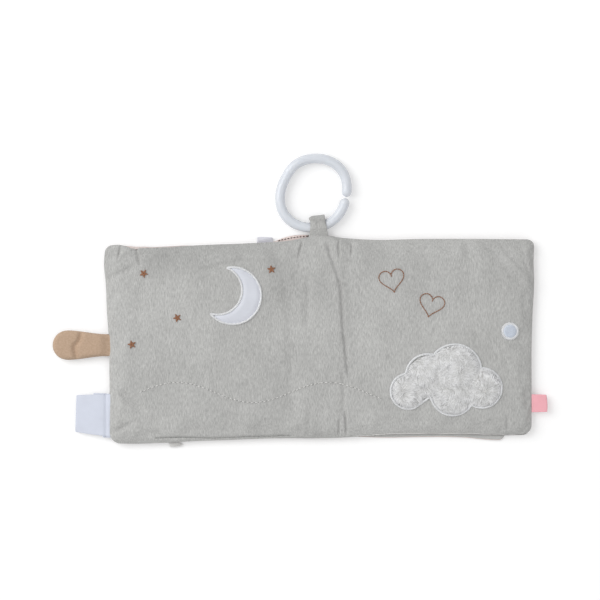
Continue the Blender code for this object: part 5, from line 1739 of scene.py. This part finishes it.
def folded_tab(name, root, ahead, width, length, thick, bulge, tilt=0.0):
    """A ribbon folded in two. Its root is a place, ahead is the way it points, width is across."""
    side = Vector((-ahead.y, ahead.x, 0))
    half = bulge / 2
    line = [(-0.0012, thick * 0.6), (length * 0.35, half * 0.8), (length - half, half)]
    line += [(length - half + half * math.sin(a), half * math.cos(a))
             for a in np.linspace(0.35, math.pi - 0.35, 7)]
    line += [(p, -q) for p, q in reversed(line[:3])]
    steps = along([(p, 0, q) for p, q in line], length / TAB_COLUMNS)
    count = len(steps) - 1
    tab = add_grid(name, TAB_COLUMNS, count)
    column, row = grid_indexes(tab, TAB_COLUMNS, count)
    v = 2 * column / TAB_COLUMNS - 1
    path = np.array([[p.x, p.z] for p, _ in steps])[row.astype(int)]
    reach = np.clip(path[:, 0] / length, 0, 1)
    across = v * width / 2 * (1 - 0.04 * reach)
    ahead_by = path[:, 0] * (1 - 0.045 * v * v) + tilt * v * width / 2 * reach
    level = path[:, 1] + 0.0003 * np.sin(2.6 * v + 3 * reach) * reach
    points = np.array([list(root + ahead * a + side * s + Vector((0, 0, h)))
                       for a, s, h in zip(ahead_by, across, level)])
    move_points(tab, points)
    face_outwards(smoothed(tab), merge=False)
    thickened(tab, thick)
    return subdivided(tab, 1)


low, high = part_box("side_tab")
root = Vector((low.x, (low.y + high.y) / 2, SEAM_Z))
side_tab = folded_tab("pink_tab", root, Vector((1, 0, 0)), width=0.0144, length=high.x - low.x,
                      thick=0.0004, bulge=0.0019, tilt=-0.05)
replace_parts(wear(side_tab, pink_ribbon), "side_tab")
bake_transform(side_tab)

low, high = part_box("leaf_ribbon_tab")
root = Vector(((low.x + high.x) / 2, low.y, LEAF_TOP / 2))
leaf_tab = folded_tab("white_leaf_tab", root, Vector((0, 1, 0)), width=0.0128, length=high.y - low.y,
                      thick=0.00035, bulge=0.0015, tilt=0.03)
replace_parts(wear(leaf_tab, tab_ribbon), "leaf_ribbon_tab")
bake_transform(leaf_tab)

# %% [markdown]
# Two pages lie under the covers. Each is two cloths sewn round a crackling film, and its inner end runs on
# under the spine to a binding strip. The outer face is the cover's grey velour, painted lighter to make up
# for the shade that the cover casts on it, and the seam shows a pink ply with a dark row of stitches where
# the back page peeps out at the top.

# %% The pages' outline
LEAF_COLUMNS, LEAF_ROWS = 40, 44
LEAF_MIDDLE = LEAF_TOP / 2
LEAF_INNER = 0.0083
LEAF_CORNER, TIGHT_CORNER = 0.0085, 0.0050
LEAF_CLOTH = 0.0006


def leaf_outline(side, column, row):
    """The flat place of a page's grid points, and the distances from its three free edges."""
    node = "front_leaf_upper_face" if side > 0 else "back_leaf_upper_face"
    low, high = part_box(node)
    fore = (high.x if side > 0 else low.x) - BOOK.x
    inner = side * LEAF_INNER
    u = crowded_at_end(column / LEAF_COLUMNS)
    x = inner + u * (fore - inner)
    top_knots, bottom_knots = LEAF_EDGES[side]
    top, bottom = curve_through(top_knots, x), curve_through(bottom_knots, x)
    t = crowded(row / LEAF_ROWS)
    y = bottom + t * (top - bottom)
    to_fore, to_low, to_high = np.abs(fore - x), y - bottom, top - y
    for end in (-1, 1):
        radius = TIGHT_CORNER if end < 0 < side else LEAF_CORNER
        x, y = round_corner(x, y, to_fore, to_high if end > 0 else to_low, side, end, radius)
    return x, y, to_fore, to_low, to_high


LEAF_EDGES = {
    # side: (top edge, bottom edge)
    1: (in_mm(((0, 74.5), (20, 75.0), (60, 74.8), (100, 74.6), (148, 73.6))),
        in_mm(((0, -78.5), (20, -79.2), (32, -79.8), (50, -80.4), (76, -80.0), (103, -79.9),
               (116, -80.4), (130, -81.8), (141, -82.5), (148, -82.3)))),
    -1: (in_mm(((-148, 69.0), (-100, 71.0), (-56, 73.0), (-38, 75.8), (-31, 79.1), (-22, 81.3),
                (-12, 81.9), (0, 80.8))),
         in_mm(((-148, -83.0), (-120, -83.6), (-80, -81.9), (-40, -80.0), (-20, -79.6), (0, -79.0)))),
}


def leaf_face(side, above):
    name = "%s_leaf_%s_cloth" % ("front" if side > 0 else "back", "upper" if above else "lower")
    face = add_grid(name, LEAF_COLUMNS, LEAF_ROWS)
    column, row = grid_indexes(face, LEAF_COLUMNS, LEAF_ROWS)
    x, y, to_fore, to_low, to_high = leaf_outline(side, column, row)
    rise = 0.00125 * crown_height(to_fore, to_low, to_high, 0.0045)
    level = 1 + 0.10 * soft_noise(np.c_[x, y, 0 * x], 0.018, 6.0 + side)
    z = LEAF_MIDDLE + (1 if above else -1) * rise * np.minimum(level, 1.0)
    move_points(face, np.stack([BOOK.x + x, BOOK.y + y, z], axis=1))
    if (face.data.polygons[0].normal.z > 0) != above:
        turn_over(face)
    return thickened(smoothed(subdivided(face, 1)), LEAF_CLOTH)


PLY_KNOTS = in_mm(((-60, 76), (-42, 75.2), (-36, 75.6), (-30, 75.8), (-8, 76.4), (0, 78)))
PLY_FROM, PLY_TO = -0.045, -0.004
for side, name in ((1, "front_leaf"), (-1, "back_leaf")):
    for above in (True, False):
        face = leaf_face(side, above)
        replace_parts(wear(face, lightened_page_velour if above else page_cloth),
                    "%s_%s_face" % (name, "upper" if above else "lower"))
        if above and side < 0:
            face.data.materials.append(page_cloth)
            for polygon in face.data.polygons:
                x, y = polygon.center.x - BOOK.x, polygon.center.y - BOOK.y
                if PLY_FROM < x < PLY_TO and y > curve_through(PLY_KNOTS, np.array([x]))[0]:
                    polygon.material_index = 1
        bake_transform(face)

# %% [markdown]
# A dark row of topstitching holds the pink ply along the page's upper edge. It is the same stitch, set at
# even steps along a short line on the page.

# %% The page's topstitching
ply_line = in_mm(((-33, 77.1), (-29, 78.1), (-24, 79.1), (-18, 80.0), (-11, 80.5), (-6, 80.3)))
ply_stitches = []
for place, ahead in along([(x, y, LEAF_TOP + 0.0001) for x, y in ply_line], 0.0024):
    spot = at(place.x, place.y, LEAF_TOP - 0.0003)
    ply_stitches.append(facing(spot, ahead, (0, 0, 1), (0.0010, 0.00042, 0.00036)))
ply_row = copies_of(stitch, ply_stitches, "page_topstitching")
wear(ply_row, dark_thread)
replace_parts(ply_row, "back_leaf_upper_face")
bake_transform(ply_row)

# %% [markdown]
# The binding strip holds both pages to the spine. It is a folded tape with two rows of stitches, seen
# from below and at the spine's ends.

# %% The binding strip
STITCH_ROWS_AT = 0.62
low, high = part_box("leaf_binding")
binding = block_of("binding_strip", low, high, 11)
points = points_of(binding)
middle, half, unit = in_box(points, low, high)
edge = np.minimum(1 - np.abs(unit[:, 0]), (1 - np.abs(unit[:, 1])) * half[1] / half[0])
thin = 0.55 + 0.45 * rolled(edge, 0.25)
row_dip = 0.10 * np.exp(-((np.abs(unit[:, 0]) - STITCH_ROWS_AT) / 0.12) ** 2)
points[:, 2] = middle[2] + unit[:, 2] * half[2] * (thin - row_dip)
points[:, 0] += 0.0003 * soft_noise(points * (0, 1, 0), 0.012, 8.0) * np.abs(unit[:, 0])
move_points(binding, points)
smoothed(subdivided(binding, 1))
rows = []
for side in (-1, 1):
    for y in np.arange(low.y + 0.004, high.y - 0.004, 0.0034):
        for level, up in ((low.z + 0.00022, (0, 0, -1)), (high.z - 0.00022, (0, 0, 1))):
            spot = Vector((middle[0] + side * half[0] * STITCH_ROWS_AT, y, level))
            rows.append(facing(spot, (0, 1, 0), up, (0.0012, 0.00026, 0.00022)))
rows = copies_of(stitch, rows, "binding_rows")
binding.data.materials.append(page_cloth)
rows.data.materials.append(seam_thread)
binding = join([binding, rows], "binding_strip")
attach(binding, "spine")
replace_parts(binding, "leaf_binding")

# %% [markdown]
# Batting fills the covers, and thin plastic film crackles beside it. Nobody sees them while the book is
# whole, but the batting is modelled as soft fibre pads all the same, and the film solids get a crinkled
# finish.

# %% Batting and film
def batting_pad(name, node, body):
    low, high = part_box(node)
    pad = block_of(name, low, high, 15)
    points = points_of(pad)
    middle, half, unit = in_box(points, low, high)
    edge = np.minimum((1 - np.abs(unit[:, 0])) * half[0], (1 - np.abs(unit[:, 1])) * half[1])
    fluff = np.minimum(1 + 0.12 * soft_noise(points * (1, 1, 0), 0.009, 1.0), 1.03)
    points[:, 2] = middle[2] + unit[:, 2] * half[2] * (0.35 + 0.60 * rolled(edge, 0.006)) * fluff
    for axis, other in ((0, 1), (1, 0)):
        pull = 0.0015 * (1 - unit[:, other] ** 2) * np.sign(unit[:, axis]) * np.abs(unit[:, axis]) ** 4
        points[:, axis] -= pull
    move_points(pad, points)
    smoothed(pad)
    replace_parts(wear(pad, batting_fibre, body), node)


batting_pad("back_batting_pad", "back_batting", "back_cover")
batting_pad("front_batting_pad", "front_batting", "front_cover")
batting_pad("spine_batting_pad", "spine_batting", "spine")
for layer in ("back", "front", "back_leaf", "front_leaf"):
    for slot in frame["nodes"]["%s_crinkle_film" % layer].material_slots:
        slot.material = crinkle_film

# %% [markdown]
# A tuft of white fur trim shows under the lower edge of the back page. It is grown from a small pad with
# the same locks as the cloud, and its white is painted lighter than the cloud's to make up for the shade
# under the cover.

# %% Fur trim
low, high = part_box("leaf_fur_trim")
deselect()
bpy.ops.mesh.primitive_uv_sphere_add(segments=20, ring_count=10, radius=0.5, location=(low + high) / 2,
                                     scale=(high - low) * Vector((0.95, 0.58, 0.60)))
trim = settle(named("fur_trim"))


def down_the_page(spot):
    return Vector((0.2, -1.0, 0))


tufts = grow_pile("fur_trim_pile", trim, 340, length=0.0031, radius=0.00020, seed=21,
                  combed=down_the_page, stand=0.35, lowest=-1.1)
points = points_of(tufts)
points[:, 2] = np.clip(points[:, 2], 0.0001, LEAF_TOP - 0.0002)
move_points(tufts, points)
wear(tufts, lightened_trim_white, "back_leaf")
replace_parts(tufts, "leaf_fur_trim")
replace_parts(wear(trim, lightened_trim_white, "back_leaf"), "leaf_fur_trim")
for pattern_piece in (stitch, lock):
    bpy.data.objects.remove(pattern_piece)

# %% [markdown]
# The scene is a white table under soft light. A large lamp stands up and to the left, as in a
# photographer's studio, and the world fills the shadows. The floor shows the camera a little extra
# white, so that it looks white while it keeps the object's soft shadow. The camera looks straight
# down through a long lens.

# %% Floor, lamps and camera
FLOOR_SIZE, FLOOR_DROP, FLOOR_GLOW = 4.0, 0.00005, 0.30
CAMERA_HEIGHT = 1.9
SENSOR_WIDTH = 36.0
VIEW_WIDTH = 0.480
VIEW_MIDDLE = at(-0.0164, 0.0296)
KEY_LAMP = dict(name="key_lamp", place=(-1.20, 0.60, 1.20), size=1.4, power=19.0)
FILL_LAMP = dict(name="fill_lamp", place=(1.2, -0.8, 1.5), size=1.6, power=5.0)
WORLD_LEVEL = 0.56

deselect()
bpy.ops.mesh.primitive_plane_add(size=FLOOR_SIZE, location=(0, 0, -FLOOR_DROP))
floor = settle(named("floor"), smooth=False)
floor_paint = bpy.data.materials.new("white_floor")
floor_paint.use_nodes = True
tree = floor_paint.node_tree
paper = tree.nodes["Principled BSDF"]
paper.inputs["Base Color"].default_value = (0.80, 0.80, 0.80, 1)
paper.inputs["Roughness"].default_value = 1.0
paper.inputs["Specular IOR Level"].default_value = 0.0
ray = tree.nodes.new("ShaderNodeLightPath")
seen = tree.nodes.new("ShaderNodeMath")
seen.operation = "MAXIMUM"
tree.links.new(ray.outputs["Is Camera Ray"], seen.inputs[0])
tree.links.new(ray.outputs["Is Glossy Ray"], seen.inputs[1])
white = tree.nodes.new("ShaderNodeMath")
white.operation = "MULTIPLY"
white.inputs[1].default_value = FLOOR_GLOW
tree.links.new(seen.outputs[0], white.inputs[0])
paper.inputs["Emission Color"].default_value = (1, 1, 1, 1)
tree.links.new(white.outputs[0], paper.inputs["Emission Strength"])
floor.data.materials.append(floor_paint)


def add_lamp(name, place, size, power):
    bpy.ops.object.light_add(type="AREA", location=place)
    lamp = bpy.context.object
    lamp.name = name
    lamp.data.size = size
    lamp.data.energy = power
    lamp.rotation_euler = (Vector((0, 0, 0)) - Vector(place)).to_track_quat("-Z", "Y").to_euler()
    return lamp


deselect()
add_lamp(**KEY_LAMP)
add_lamp(**FILL_LAMP)
world = bpy.data.worlds.new("studio")
world.use_nodes = True
world.node_tree.nodes["Background"].inputs["Color"].default_value = (1, 1, 1, 1)
world.node_tree.nodes["Background"].inputs["Strength"].default_value = WORLD_LEVEL
bpy.context.scene.world = world
bpy.context.scene.view_settings.view_transform = "Standard"

bpy.ops.object.camera_add(location=(VIEW_MIDDLE.x, VIEW_MIDDLE.y, CAMERA_HEIGHT), rotation=(0, 0, 0))
camera = bpy.context.object
camera.name = "camera"
camera.data.sensor_width = SENSOR_WIDTH
camera.data.lens = SENSOR_WIDTH * CAMERA_HEIGHT / VIEW_WIDTH
bpy.context.scene.camera = camera
print("camera %.2f m above the book, lens %.0f mm" % (CAMERA_HEIGHT, camera.data.lens))
